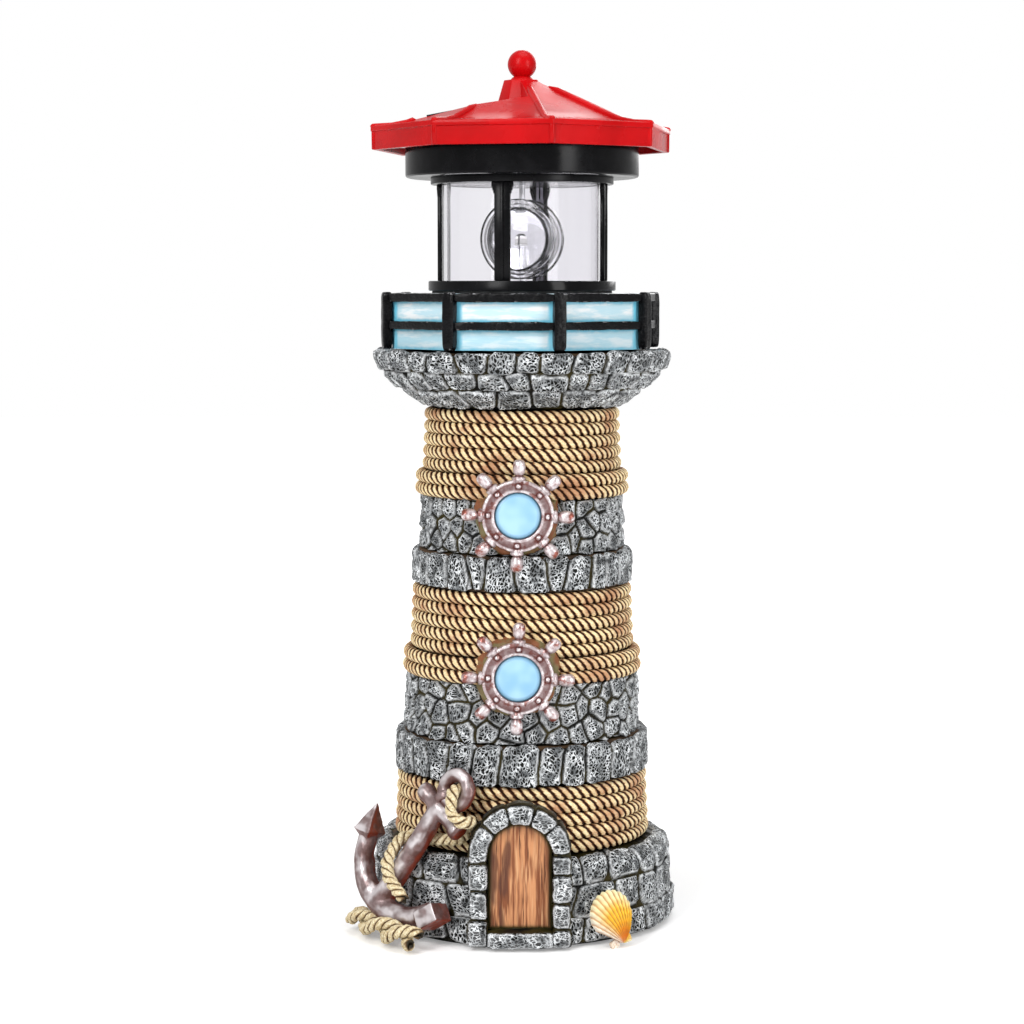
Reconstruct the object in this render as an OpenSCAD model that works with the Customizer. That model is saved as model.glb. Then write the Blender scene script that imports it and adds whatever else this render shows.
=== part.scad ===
// Garden lighthouse ornament: a hollow cast tower with rope wraps, a gallery,
// and a drop-in solar lantern with a turning lens under a red roof.
// Millimetres, +Z up, origin at the middle of the underside of the foot pad.
// The front, with the door, faces -Y.

/* [Tower heights] */
// Thickness of the soft foot pad
pad_t = 1; // [0.8:0.1:2]
// Height of the top of the plinth
plinth_top_z = 36; // [34:0.5:38]
// Height of the top of the lower rope wrap
lower_wrap_top_z = 62.7; // [62:0.1:63.5]
// Height of the lip of big blocks over the lower wrap
lower_lip_h = 17; // [14:0.5:19]
// Height of the lower band of rubble stone
lower_band_h = 24.4; // [22:0.2:26]
// Height of the middle rope wrap
middle_wrap_h = 36.2; // [35.6:0.1:38]
// Height of the lip of big blocks over the middle wrap
upper_lip_h = 15.1; // [13:0.1:17]
// Height of the upper band of rubble stone
upper_band_h = 22.7; // [20:0.1:24]
// Height of the upper rope wrap
upper_wrap_h = 35.2; // [35:0.1:37]
// Height of the corbelled head of the tower
corbel_h = 24.5; // [23:0.5:27]

/* [Tower radii] */
// Radius of the lowest course of the plinth
plinth_r = 64; // [63:0.5:68]
// Radius of the lip over the lower wrap
lower_lip_r = 53.3; // [53:0.1:55]
// Radius of the lower rubble band at its middle
lower_band_r = 49; // [48:0.1:50]
// Radius of the lip over the middle wrap
upper_lip_r = 46.2; // [45.8:0.1:47]
// Radius of the upper rubble band at its middle
upper_band_r = 42.8; // [42:0.1:43.5]
// Radius of the corbel's top edge
corbel_r = 61.4; // [60:0.2:64]
// Wall thickness of the casting behind the rope
casting_wall = 3.4; // [2.8:0.1:4]
// Thickness of the casting's floor
casting_floor_t = 5; // [3:0.5:8]

/* [Rope] */
// Diameter of the rope in the upper and middle wraps
rope_d = 4.6; // [4:0.05:4.65]
// Diameter of the rope in the lower wrap
heavy_rope_d = 4.9; // [4.4:0.05:4.95]
// Outside radius of the upper wrap at its top
upper_wrap_r = 40.1; // [39.6:0.1:40.6]
// Outside radius of the middle wrap at its top
middle_wrap_r = 45.4; // [44.8:0.1:46]
// Outside radius of the lower wrap at its top
lower_wrap_r = 51.8; // [51:0.1:52]
// How much further out the two lowest turns of a long wrap lie
wrap_bulge = 2.6; // [1.5:0.1:2.8]
// Turns in the upper and middle wraps
long_wrap_turns = 7; // [5:1:7]
// Turns in the lower wrap
short_wrap_turns = 5; // [3:1:5]
// Diameter of the rope on the anchor
anchor_rope_d = 4.6; // [4:0.1:5]

/* [Gallery] */
// Height of the gallery drum
gallery_h = 22.8; // [20:0.2:26]
// Corner radius of the gallery drum
gallery_r = 55; // [52:0.5:56]
// Width of a gallery post
post_w = 6; // [4:0.2:7]
// Height of a gallery rail
rail_h = 3.4; // [2.4:0.2:4.4]
// Height of the middle rail's centre above the deck
mid_rail_z = 9.9; // [8:0.1:12]
// Turn of the gallery about the tower
gallery_turn = 14.7; // [0:0.1:45]

/* [Door and portholes] */
// Width of the door panel
door_w = 25.6; // [22:0.2:28]
// Height of the door panel
door_h = 42.9; // [38:0.1:46]
// Thickness of the door panel
door_t = 4; // [3:0.2:5]
// Width of the stones round the door
surround_w = 7.7; // [6:0.1:9]
// Height of the door sill
sill_h = 7; // [5:0.5:8]
// Distance that the stones stand out from the lower wrap
surround_proud = 13.7; // [12.7:0.1:16]
// Distance that the door stands out from the lower wrap
door_proud = 9.2; // [7.2:0.2:10.2]
// Radius of the porthole lens
lens_disc_r = 9.35; // [7:0.05:10]
// Radius of the porthole ring
wheel_ring_r = 14.5; // [13:0.1:15]
// Radius to the tips of the wheel's handles
wheel_tip_r = 22.5; // [19:0.5:23]
// Thickness of the porthole ring
wheel_t = 3.8; // [3:0.2:5]
// Handles on a wheel
wheel_handles = 8; // [6:1:10]
// Height of the upper porthole's centre
upper_port_z = 172.2; // [170:0.2:175]
// Height of the lower porthole's centre
lower_port_z = 107.5; // [105:0.5:110]

/* [Anchor and shell] */
// Radius of the anchor's arms at their centre line
arm_r = 26.6; // [24:0.2:28]
// Thickness of the anchor's arms and shank
arm_d = 7.4; // [6:0.2:7.8]
// Length of the anchor's shank up to its eye
shank_l = 54; // [50:1:57]
// Length of the anchor's stock
stock_l = 25; // [20:1:30]
// Outside width of the shackle
shackle_w = 16; // [15.5:0.5:18]
// Thickness of the shackle's bar
shackle_d = 4.2; // [3.6:0.2:4.4]
// Width of the scallop shell
shell_w = 20; // [16:0.5:22]
// Length of the scallop shell from its hinge to its rim
shell_l = 24; // [20:0.5:26]
// Swell of the scallop shell
shell_swell = 6.5; // [4:0.5:8]

/* [Lantern] */
// Radius of the tower's bore for the drop-in lantern
bore_r = 33; // [31:0.5:35]
// Height of the base ring
base_ring_h = 4.1; // [3:0.1:6]
// Radius of the base ring
base_ring_r = 38.7; // [37.5:0.1:42]
// Depth that the base housing hangs in the bore
housing_depth = 36.5; // [34:0.5:40]
// Outside radius of the clear cylinder
glazing_r = 33.2; // [32:0.1:34]
// Wall thickness of the clear cylinder
glazing_t = 2; // [1:0.1:3]
// Height of the clear cylinder that shows
glazing_h = 39.4; // [36:0.2:44]
// Width of a column
column_w = 6.5; // [4:0.5:8]
// Thickness of a column
column_t = 2; // [1.4:0.1:2.6]
// Radius of the stepped top ring
top_ring_r = 37.7; // [36.5:0.1:40]
// Height of the stepped top ring
top_ring_h = 2.8; // [2:0.2:4]
// Radius of the collar under the roof
collar_r = 48.1; // [46:0.2:50]
// Height of the collar
collar_h = 14.2; // [13.6:0.2:18]
// Clear wall thickness of the plastic mouldings
plastic_wall = 2; // [1.6:0.1:2.6]

/* [Turning lens and drive] */
// Radius of a beacon lens
beacon_r = 15.9; // [13:0.1:17]
// Thickness of the pair of lenses with their band
beacon_t = 16; // [14:0.5:20]
// Height of the beacon lens's centre above the base ring
beacon_z = 17.1; // [16.9:0.1:18]
// Turn of the beacon lens at rest
beacon_turn = -20; // [-90:1:90]
// Gear module
gear_module = 0.8; // [0.6:0.05:0.85]
// Teeth on the spindle gear
spindle_teeth = 36; // [30:2:40]
// Teeth on the idler gear
idler_teeth = 22; // [20:1:24]
// Teeth on the pinion
pinion_teeth = 14; // [14:1:16]
// Face width of the gears
gear_w = 2.6; // [2:0.2:3]
// Radius of the drive's shafts
shaft_r = 1.2; // [1:0.1:1.5]
// Diameter of the battery
battery_d = 14.2; // [10:0.1:14.5]
// Length of the battery without its stud
battery_l = 43; // [40:0.5:44]
// Travel of the slide switch
switch_travel = 3; // [2:0.5:4]

/* [Roof] */
// Corner radius of the roof at the fascia
roof_r = 62.9; // [61:0.1:66]
// Height of the fascia
fascia_h = 9.6; // [8:0.2:12]
// Height of the roof from the top of the fascia to the finial's neck
roof_rise = 19.2; // [18:0.2:22]
// Turn of the roof about the tower
roof_turn = 10.7; // [0:0.1:45]
// Thickness of the roof's shell
roof_t = 2.4; // [1.6:0.1:3]
// Radius of the finial ball
ball_r = 5.95; // [4:0.05:8]
// Length of the solar panel, across the slope
solar_l = 40; // [36:0.5:42]
// Width of the solar panel, down the slope
solar_w = 24; // [20:0.5:26]
// Thickness of the solar panel
solar_t = 2.2; // [2:0.1:2.6]
// Slope of the solar shelf in degrees
shelf_slope = 9.6; // [8:0.2:11]

/* [Fits] */
// Gap between pieces that are bonded or seated
seat_gap = 0.1; // [0.05:0.05:0.2]
// Gap round the drop-in lantern in its bore
drop_gap = 0.5; // [0.3:0.1:1]
// Radial running clearance of a shaft
running_gap = 0.05; // [0.02:0.01:0.08]
// Gap behind the rope
rope_gap = 0.25; // [0.15:0.05:0.4]

/* [Hidden] */
$fn = 96;
eps = 0.01;
full_turn = 360;

// Heights up the tower
lower_lip_z = lower_wrap_top_z;
lower_band_z = lower_lip_z + lower_lip_h;
middle_wrap_z = lower_band_z + lower_band_h;
upper_lip_z = middle_wrap_z + middle_wrap_h;
upper_band_z = upper_lip_z + upper_lip_h;
upper_wrap_z = upper_band_z + upper_band_h;
corbel_z = upper_wrap_z + upper_wrap_h;
deck_z = corbel_z + corbel_h;
gallery_top_z = deck_z + gallery_h;

// Taper of the tower and steps of the plinth
taper = 0.045;
plinth_courses_z = [12.6, 25.5, 30.6];
course_insets = [0, 1.4, 2.24];
shoulder_r = 56;

// Rope paths
ring_steps = 24;
rope_sides = 6;
climb_angle = 90;
tail_bend_r = 3.2;
tail_steps = 3;

function smooth(t) = t <= 0 ? 0 : t >= 1 ? 1 : t * t * (3 - 2 * t);
function wrap_pitch(height, d, turns) = (height - d) / (turns - 1);
function wall_behind(r, d) = r - d - rope_gap;

// Number of climbs made after a degrees of winding, from 0 to turns - 1
function climbs(a, turns) =
    let (loop = floor(a / full_turn), part = a - loop * full_turn)
    min(turns - 1, loop + smooth((part - (full_turn - climb_angle)) / climb_angle));

// A point of a wrap's centre line: it starts behind the tower, at its top
function wrap_point(a, top_z, height, r, d, turns, bulge) =
    let (
        c = climbs(a, turns),
        z = top_z - d / 2 - c * wrap_pitch(height, d, turns),
        reach = r - d / 2 + (top_z - z) * taper + bulge * smooth(c - (turns - 3)),
        heading = 90 + climb_angle / 2 + a
    )
    [reach * cos(heading), reach * sin(heading), z];

function unit(v) = v / norm(v);

// A straight tail that turns in from the wrap and runs square into the wall
function tail_points(p, along, d) =
    let (
        inward = unit([-p.x, -p.y, 0]),
        out = unit(along)
    )
    concat(
        [for (i = [1:tail_steps])
            let (turn = 90 * i / tail_steps)
            p + out * tail_bend_r * sin(turn) + inward * tail_bend_r * (1 - cos(turn))],
        [p + out * tail_bend_r + inward * (tail_bend_r + d)]
    );

function reversed(list) = [for (i = [len(list) - 1:-1:0]) list[i]];

function wrap_path(top_z, height, r, d, turns, bulge) =
    let (
        end_a = turns * full_turn - climb_angle,
        steps = round(end_a / full_turn * ring_steps),
        turns_points = [for (i = [0:steps])
            wrap_point(i * end_a / steps, top_z, height, r, d, turns, bulge)],
        last = len(turns_points) - 1,
        head = tail_points(turns_points[0], turns_points[0] - turns_points[1], d),
        foot = tail_points(turns_points[last], turns_points[last] - turns_points[last - 1], d)
    )
    concat(reversed(head), turns_points, foot);

// Least gap between tubes along a path, between rings at least half a turn apart
function least_gap(path, d) =
    min([for (i = [0:len(path) - 1], j = [i + ring_steps / 2:len(path) - 1])
        norm(path[i] - path[j])]) - d;

// Tube swept along a path: one ring of points square to the path at each point
function tangent(path, i) =
    unit(path[min(i + 1, len(path) - 1)] - path[max(i - 1, 0)]);

function side_of(t, guide) = unit(cross(t, guide));

// Guides carried along the path, so that the tube doesn't twist
function carried(path, i, prev, acc) =
    i == len(path) ? acc
    : let (
        t = tangent(path, i),
        flat = prev - t * (prev * t),
        s = unit(flat)
    )
    carried(path, i + 1, s, concat(acc, [s]));

module tube(path, d, sides, guide) {
    first = side_of(tangent(path, 0), guide);
    normals = carried(path, 0, first, []);
    points = [for (i = [0:len(path) - 1], k = [0:sides - 1])
        let (
            t = tangent(path, i),
            s = normals[i],
            u = cross(t, s),
            a = full_turn * k / sides
        )
        path[i] + d / 2 * (s * cos(a) + u * sin(a))];
    last = len(path) - 1;
    faces = concat(
        [for (k = [1:sides - 2]) [0, k, k + 1]],
        [for (i = [0:last - 1], k = [0:sides - 1], half = [0, 1])
            let (
                a = i * sides + k,
                b = i * sides + (k + 1) % sides,
                c = (i + 1) * sides + k,
                e = (i + 1) * sides + (k + 1) % sides
            )
            half == 0 ? [a, c, b] : [b, c, e]],
        [for (k = [1:sides - 2]) [last * sides, last * sides + k + 1, last * sides + k]]
    );
    polyhedron(points, faces);
}

// ---------------------------------------------------------------- tower

// Depths of the plinth's courses and of the corbel's three rows of stones
corbel_neck_r = 39.7;
corbel_rows = 3;
corbel_row_step = 0.8;
corbel_rise = 0.86 * corbel_h;
lip_chamfer = 1.2;
hollow_bench_r = 52;
hollow_bench_z = 28;
hollow_slope_h = 10;
deck_t = 5;

function plinth_profile() = concat(
    [for (i = [0:len(plinth_courses_z) - 1], end = [0, 1])
        [plinth_r - course_insets[i],
         end == 1 ? plinth_courses_z[i] : i == 0 ? pad_t : plinth_courses_z[i - 1]]],
    [for (t = [0:30:90])
        [shoulder_r + (plinth_r - course_insets[2] - shoulder_r) * cos(t),
         plinth_courses_z[2] + (plinth_top_z - plinth_courses_z[2]) * sin(t)]]
);

// Two points of the wall behind a wrap, bottom first
function wall_points(top_z, height, r, d) = [
    [wall_behind(r, d) + taper * height, top_z - height],
    [wall_behind(r, d), top_z]
];

function lip_points(z, h, r) = [
    [r - lip_chamfer, z],
    [r, z + lip_chamfer],
    [r, z + h - lip_chamfer],
    [r - lip_chamfer, z + h]
];

function band_points(z, h, r) = [[r + taper * h / 2, z], [r - taper * h / 2, z + h]];

// The corbel swells outwards on a curve, with a small step at each row
function corbel_points() =
    [for (row = [0:corbel_rows - 1], end = [0, 1])
        let (
            t = (row + end) / corbel_rows,
            swell = corbel_neck_r + (corbel_r - corbel_neck_r) * sin(90 * pow(t, 0.85))
        )
        [swell + (end == 0 && row > 0 ? corbel_row_step : 0), corbel_z + corbel_rise * t]];

function tower_outline() = concat(
    plinth_profile(),
    wall_points(lower_wrap_top_z, lower_wrap_top_z - plinth_top_z, lower_wrap_r, heavy_rope_d),
    lip_points(lower_lip_z, lower_lip_h, lower_lip_r),
    band_points(lower_band_z, lower_band_h, lower_band_r),
    wall_points(upper_lip_z, middle_wrap_h, middle_wrap_r, rope_d),
    lip_points(upper_lip_z, upper_lip_h, upper_lip_r),
    band_points(upper_band_z, upper_band_h, upper_band_r),
    wall_points(corbel_z, upper_wrap_h, upper_wrap_r, rope_d),
    corbel_points(),
    [[corbel_r, deck_z]]
);

// The hollow: a wide room in the plinth, cones behind the wraps, a bell in the corbel
lower_wall_r = wall_behind(lower_wrap_r, heavy_rope_d) - casting_wall;
middle_wall_r = wall_behind(middle_wrap_r, rope_d) - casting_wall;
upper_wall_r = wall_behind(upper_wrap_r, rope_d) - casting_wall;
bell_r = bore_r + 9;
hollow_floor_z = pad_t + casting_floor_t;

function hollow_outline() = [
    [0, hollow_floor_z],
    [hollow_bench_r, hollow_floor_z],
    [hollow_bench_r, hollow_bench_z],
    [lower_wall_r, hollow_bench_z + hollow_slope_h],
    [lower_wall_r, lower_lip_z],
    [middle_wall_r, middle_wrap_z],
    [middle_wall_r, upper_lip_z],
    [upper_wall_r, upper_wrap_z],
    [upper_wall_r, corbel_z],
    [bell_r, deck_z - deck_t - 4],
    [bell_r, deck_z - deck_t],
    [bore_r, deck_z - deck_t],
    [bore_r, deck_z + 1],
    [0, deck_z + 1]
];

// A turned solid a little outside the tower and its lower rope, to cut what lies against it
module tower_envelope(gap) {
    foot_r = lower_wrap_r + taper * (lower_wrap_top_z - plinth_top_z);
    rotate_extrude()
        polygon(concat(
            [[0, pad_t - gap]],
            [for (p = plinth_profile()) p + [gap, p.y == pad_t ? -gap : gap]],
            [
                [foot_r + gap, plinth_top_z + gap],
                [lower_wrap_r + gap, lower_wrap_top_z - gap],
                [lower_lip_r + gap, lower_wrap_top_z - gap],
                [lower_lip_r + gap, lower_band_z],
                [0, lower_band_z]
            ]));
}

wheel_gap = 0.2;
wheel_back_upper = upper_wrap_r + wrap_bulge + taper * upper_wrap_h + wheel_gap;
wheel_back_lower = middle_wrap_r + wrap_bulge + taper * middle_wrap_h + wheel_gap;
port_x = -1.8;
door_x = -1;

// Flat seat behind a wheel, kept below the rope over it
module wheel_seat(z, back, rope_z) {
    intersection() {
        translate([port_x, 0, z])
            rotate([90, 0, 0])
                cylinder(h = back, r = wheel_ring_r - 0.8);
        translate([-plinth_r, -back, z - wheel_ring_r])
            cube([2 * plinth_r, back * 0.25, rope_z - rope_gap - (z - wheel_ring_r)]);
    }
}

module wheel_relief(z, back) {
    translate([port_x, -back + eps, z])
        rotate([90, 0, 0])
            cylinder(h = 20, r = wheel_tip_r + 0.5);
}

tail_hole_r_gap = 0.6;

// Sockets in the wall for the two tails of a wrap
module tail_sockets(top_z, height, r, d, turns, bulge) {
    path = wrap_path(top_z, height, r, d, turns, bulge);
    for (end = [0, 1]) {
        tip = end == 0 ? path[0] : path[len(path) - 1];
        next = end == 0 ? path[1] : path[len(path) - 2];
        heading = atan2(next.y - tip.y, next.x - tip.x);
        translate(tip)
            rotate([0, 90, heading])
                translate([0, 0, -1])
                    cylinder(h = d + tail_bend_r + 3, r = d / 2 + tail_hole_r_gap, $fn = 24);
    }
}

function upper_wrap() = [corbel_z, upper_wrap_h, upper_wrap_r, rope_d, long_wrap_turns, wrap_bulge];
function middle_wrap() = [upper_lip_z, middle_wrap_h, middle_wrap_r, rope_d, long_wrap_turns, wrap_bulge];
function lower_wrap() = [lower_wrap_top_z, lower_wrap_top_z - plinth_top_z, lower_wrap_r, heavy_rope_d,
    short_wrap_turns, 0];

module sockets_for(w) {
    tail_sockets(w[0], w[1], w[2], w[3], w[4], w[5]);
}

module wrap(w) {
    path = wrap_path(w[0], w[1], w[2], w[3], w[4], w[5]);
    echo(least_gap = least_gap([for (i = [tail_steps + 1:len(path) - tail_steps - 2]) path[i]], w[3]));
    tube(path, w[3], rope_sides, [0, 0, 1]);
}

module tower_casting() {
    color("darkgray")
        difference() {
            union() {
                rotate_extrude()
                    polygon(concat([[0, pad_t]], tower_outline(), [[0, deck_z]]));
                wheel_seat(upper_port_z, wheel_back_upper - seat_gap, upper_wrap_z);
                wheel_seat(lower_port_z, wheel_back_lower - seat_gap, middle_wrap_z);
            }
            rotate_extrude()
                polygon(hollow_outline());
            wheel_relief(upper_port_z, wheel_back_upper);
            wheel_relief(lower_port_z, wheel_back_lower);
            door_shape(seat_gap, door_y - door_t - seat_gap, plinth_r + 10);
            sockets_for(upper_wrap());
            sockets_for(middle_wrap());
            sockets_for(lower_wrap());
        }
}

foot_pad_r = 58;

module foot_pad() {
    color("dimgray")
        cylinder(h = pad_t - 0.02, r = foot_pad_r);
}

module rope_wrap_upper() {
    color("burlywood")
        wrap(upper_wrap());
}

module rope_wrap_middle() {
    color("burlywood")
        wrap(middle_wrap());
}

module rope_wrap_lower() {
    color("burlywood")
        wrap(lower_wrap());
}

// ---------------------------------------------------------------- door

door_y = lower_wrap_r + door_proud;
surround_y = lower_wrap_r + surround_proud;
sill_front_y = surround_y + 2;
jamb_stones = 4;
arch_stones = 5;
joint_w = 0.7;
joint_depth = 1;

// Arched prism from one distance to another in front of the axis
module door_shape(gap, near_y, far_y) {
    half = door_w / 2 + gap;
    spring_z = pad_t + sill_h + door_h - door_w / 2;
    translate([door_x, -near_y, 0])
        rotate([90, 0, 0])
            linear_extrude(far_y - near_y) {
                translate([-half, pad_t + sill_h - gap])
                    square([2 * half, spring_z - pad_t - sill_h + gap]);
                translate([0, spring_z])
                    circle(half);
            }
}

module door_panel() {
    color("peru")
        door_shape(0, door_y - door_t, door_y);
}

module surround_outline() {
    half = door_w / 2 + surround_w;
    spring_z = pad_t + sill_h + door_h - door_w / 2;
    translate([-half, pad_t])
        square([2 * half, spring_z - pad_t]);
    translate([0, spring_z])
        circle(half);
}

module surround_joints() {
    spring_z = pad_t + sill_h + door_h - door_w / 2;
    jamb_h = spring_z - pad_t - sill_h;
    for (i = [0:jamb_stones - 1])
        translate([-surround_y, pad_t + sill_h + jamb_h * i / jamb_stones - joint_w / 2])
            square([2 * surround_y, joint_w]);
    for (i = [1:arch_stones - 1])
        translate([0, spring_z])
            rotate(180 * i / arch_stones)
                translate([door_w / 2 - 1, -joint_w / 2])
                    square([surround_w + 4, joint_w]);
}

module door_surround() {
    color("gainsboro")
        difference() {
            union() {
                translate([door_x, -lower_wrap_r, 0])
                    rotate([90, 0, 0])
                        linear_extrude(surround_y - lower_wrap_r)
                            surround_outline();
                translate([door_x - door_w / 2 - surround_w, -sill_front_y, pad_t])
                    cube([door_w + 2 * surround_w, sill_front_y - lower_wrap_r, sill_h]);
            }
            tower_envelope(seat_gap);
            door_shape(seat_gap, door_y - door_t - seat_gap, surround_y + 10);
            translate([door_x, -surround_y + joint_depth, 0])
                rotate([90, 0, 0])
                    linear_extrude(joint_depth * 2)
                        surround_joints();
        }
}

// ---------------------------------------------------------------- portholes

handle_r = 2.5;
rivet_r = 1.1;

// Turned handle, pointing along +Z, from the ring to its tip
module wheel_handle() {
    root = wheel_ring_r - 1.5;
    length = wheel_tip_r - root;
    translate([0, 0, root])
        rotate_extrude($fn = 24)
            polygon([
                [0, 0],
                [handle_r * 0.55, 0],
                [handle_r * 0.55, length * 0.3],
                [handle_r * 0.9, length * 0.38],
                [handle_r * 0.6, length * 0.46],
                [handle_r, length * 0.7],
                [handle_r * 0.85, length * 0.92],
                [handle_r * 0.4, length],
                [0, length]
            ]);
}

module porthole_wheel(z, back) {
    translate([port_x, -back, z])
        rotate([90, 0, 0]) {
            rotate_extrude()
                difference() {
                    translate([lens_disc_r - 1, 0])
                        square([wheel_ring_r - lens_disc_r + 1, wheel_t]);
                    translate([0, 1.2])
                        square([lens_disc_r + running_gap, wheel_t]);
                    translate([wheel_ring_r, wheel_t])
                        rotate(45)
                            square(1.2, center = true);
                }
            for (i = [0:wheel_handles - 1])
                rotate([0, 0, full_turn * i / wheel_handles]) {
                    translate([0, 0, wheel_t / 2 + 0.6])
                        rotate([-90, 0, 0])
                            wheel_handle();
                    translate([0, (wheel_ring_r + lens_disc_r) / 2, wheel_t - eps])
                        cylinder(h = 0.5, r = rivet_r, $fn = 24);
                }
        }
}

module porthole_lens(z, back) {
    translate([port_x, -back - 1.2 - eps, z])
        rotate([90, 0, 0])
            rotate_extrude()
                polygon([[0, 0], [lens_disc_r, 0], [lens_disc_r, 1.4], [lens_disc_r * 0.6, 1.9], [0, 2.1]]);
}

module porthole_wheel_upper() {
    color("rosybrown")
        porthole_wheel(upper_port_z, wheel_back_upper);
}

module porthole_wheel_lower() {
    color("rosybrown")
        porthole_wheel(lower_port_z, wheel_back_lower);
}

module porthole_lens_upper() {
    color("lightblue")
        porthole_lens(upper_port_z, wheel_back_upper);
}

module porthole_lens_lower() {
    color("lightblue")
        porthole_lens(lower_port_z, wheel_back_lower);
}

// ---------------------------------------------------------------- anchor

// The crown's place, and the anchor's lean: tipped up, rolled, and turned round the tower
crown = [-58.3, -41.3, 14];
anchor_lean = [76, 29.5, -45];
arm_sweep_left = 84;
arm_sweep_right = 64;
fluke_l = 12;
fluke_w = 10;
fluke_t = 3.4;
stock_at = 46;
stock_d = 6.4;
knob_d = 8;
eye_r = shackle_d / 2 + 0.4;
lug_r = eye_r + 1.5;
lug_t = 3.4;
shackle_turn = 30;

module place_anchor() {
    translate(crown)
        rotate(anchor_lean)
            children();
}

// Palm on the inner side of an arm's end, reaching a little past it
module fluke(sweep) {
    translate([0, arm_r, 0])
        rotate([0, 0, sweep])
            translate([0, fluke_t - arm_r, 0])
                rotate([90, 0, 0])
                    linear_extrude(fluke_t)
                        polygon([
                            [-fluke_l * 0.5, -fluke_w * 0.3],
                            [-fluke_l * 0.2, -fluke_w / 2],
                            [fluke_l * 0.35, -fluke_w * 0.4],
                            [fluke_l * 0.55, 0],
                            [fluke_l * 0.35, fluke_w * 0.4],
                            [-fluke_l * 0.2, fluke_w / 2],
                            [-fluke_l * 0.5, fluke_w * 0.3]
                        ]);
}

module anchor() {
    color("saddlebrown")
        place_anchor()
            difference() {
                union() {
                    translate([0, arm_r, 0])
                        rotate([0, 0, -90 - arm_sweep_left])
                            rotate_extrude(angle = arm_sweep_left + arm_sweep_right)
                                translate([arm_r, 0])
                                    circle(arm_d / 2, $fn = 32);
                    rotate([-90, 0, 0])
                        cylinder(h = shank_l - lug_r + 0.8, r1 = arm_d / 2, r2 = arm_d / 2 - 0.6, $fn = 32);
                    translate([0, stock_at, 0])
                        rotate([0, 90, 0])
                            translate([0, 0, -stock_l / 2]) {
                                cylinder(h = stock_l, r = stock_d / 2, $fn = 32);
                                for (end = [0, 1])
                                    translate([0, 0, end * stock_l])
                                        sphere(knob_d / 2, $fn = 32);
                            }
                    translate([0, shank_l, 0])
                        rotate([0, 90, -shackle_turn])
                            cylinder(h = lug_t, r = lug_r, center = true, $fn = 32);
                    fluke(-arm_sweep_left);
                    fluke(arm_sweep_right);
                }
                translate([0, shank_l, 0])
                    rotate([0, 90, -shackle_turn])
                        cylinder(h = 2 * arm_d, r = eye_r, center = true, $fn = 32);
            }
}

module anchor_shackle() {
    ring_r = (shackle_w - shackle_d) / 2;
    color("sienna")
        place_anchor()
            translate([ring_r * sin(shackle_turn), shank_l + ring_r * cos(shackle_turn), 0])
                rotate_extrude()
                    translate([ring_r, 0])
                        circle(shackle_d / 2, $fn = 32);
}

// Rope on the anchor: through the shackle, down behind the stock and the shank, round to the front
anchor_rope_route = [
    [-23.4, -50.4, 62.3],
    [-25.9, -53.6, 63],
    [-27.6, -56.6, 62.7],
    [-28.2, -58.9, 60.3],
    [-28.3, -60, 55.3],
    [-26, -61.8, 52.4],
    [-22.8, -62.8, 51.2],
    [-20.6, -59.5, 51.4],
    [-20.9, -56, 49.8],
    [-22.3, -52.4, 47],
    [-23.4, -51.4, 44],
    [-27, -49, 41.8],
    [-32, -46, 41],
    [-37.8, -42, 40.8],
    [-43, -39.4, 41],
    [-47.8, -39.6, 40.5],
    [-51.6, -42, 37.5],
    [-54, -45.7, 33.5],
    [-54.3, -48.5, 29.4],
    [-53, -51, 25.5],
    [-50, -54.5, 22],
    [-46.5, -58, 19]
];
// Rope heaped on the ground in front of the anchor
ground_rope_route = [
    [-39, -67.5, 3.4],
    [-45, -64, 3.4],
    [-50.5, -59, 3.4],
    [-56, -53, 3.4],
    [-61.5, -46.5, 3.4],
    [-66.5, -39.5, 3.4],
    [-70, -33, 3.4],
    [-72, -27.5, 3.5],
    [-71.5, -22.5, 4.2],
    [-66, -19.8, 6],
    [-62.7, -22.9, 8.1],
    [-66, -30, 8.3],
    [-65.8, -36, 8.3],
    [-64, -42, 8.3],
    [-61.5, -47.5, 8.2],
    [-58, -53, 8.1],
    [-54.5, -58.5, 7.3],
    [-50.5, -64, 5.2],
    [-47, -69, 3.4],
    [-43, -72, 3.4]
];
rope_run_sides = 8;

module anchor_rope() {
    color("wheat")
        tube(anchor_rope_route, anchor_rope_d, rope_run_sides, [0, 0, 1]);
}

module ground_rope() {
    color("wheat")
        tube(ground_rope_route, anchor_rope_d, rope_run_sides, [0, 0, 1]);
}

// ---------------------------------------------------------------- scallop shell

// The shell leans on the plinth with its hinge low at the right
shell_heading = 33;
shell_lean = 7;
shell_roll = 32;
shell_hinge_z = 3.4;
shell_hinge_x = 4;
shell_gap = 0.4;
shell_hinge_r = plinth_r + shell_gap + (plinth_courses_z[0] - shell_hinge_z) * tan(shell_lean);
shell_ribs = 9;
rib_groove = 0.7;

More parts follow.
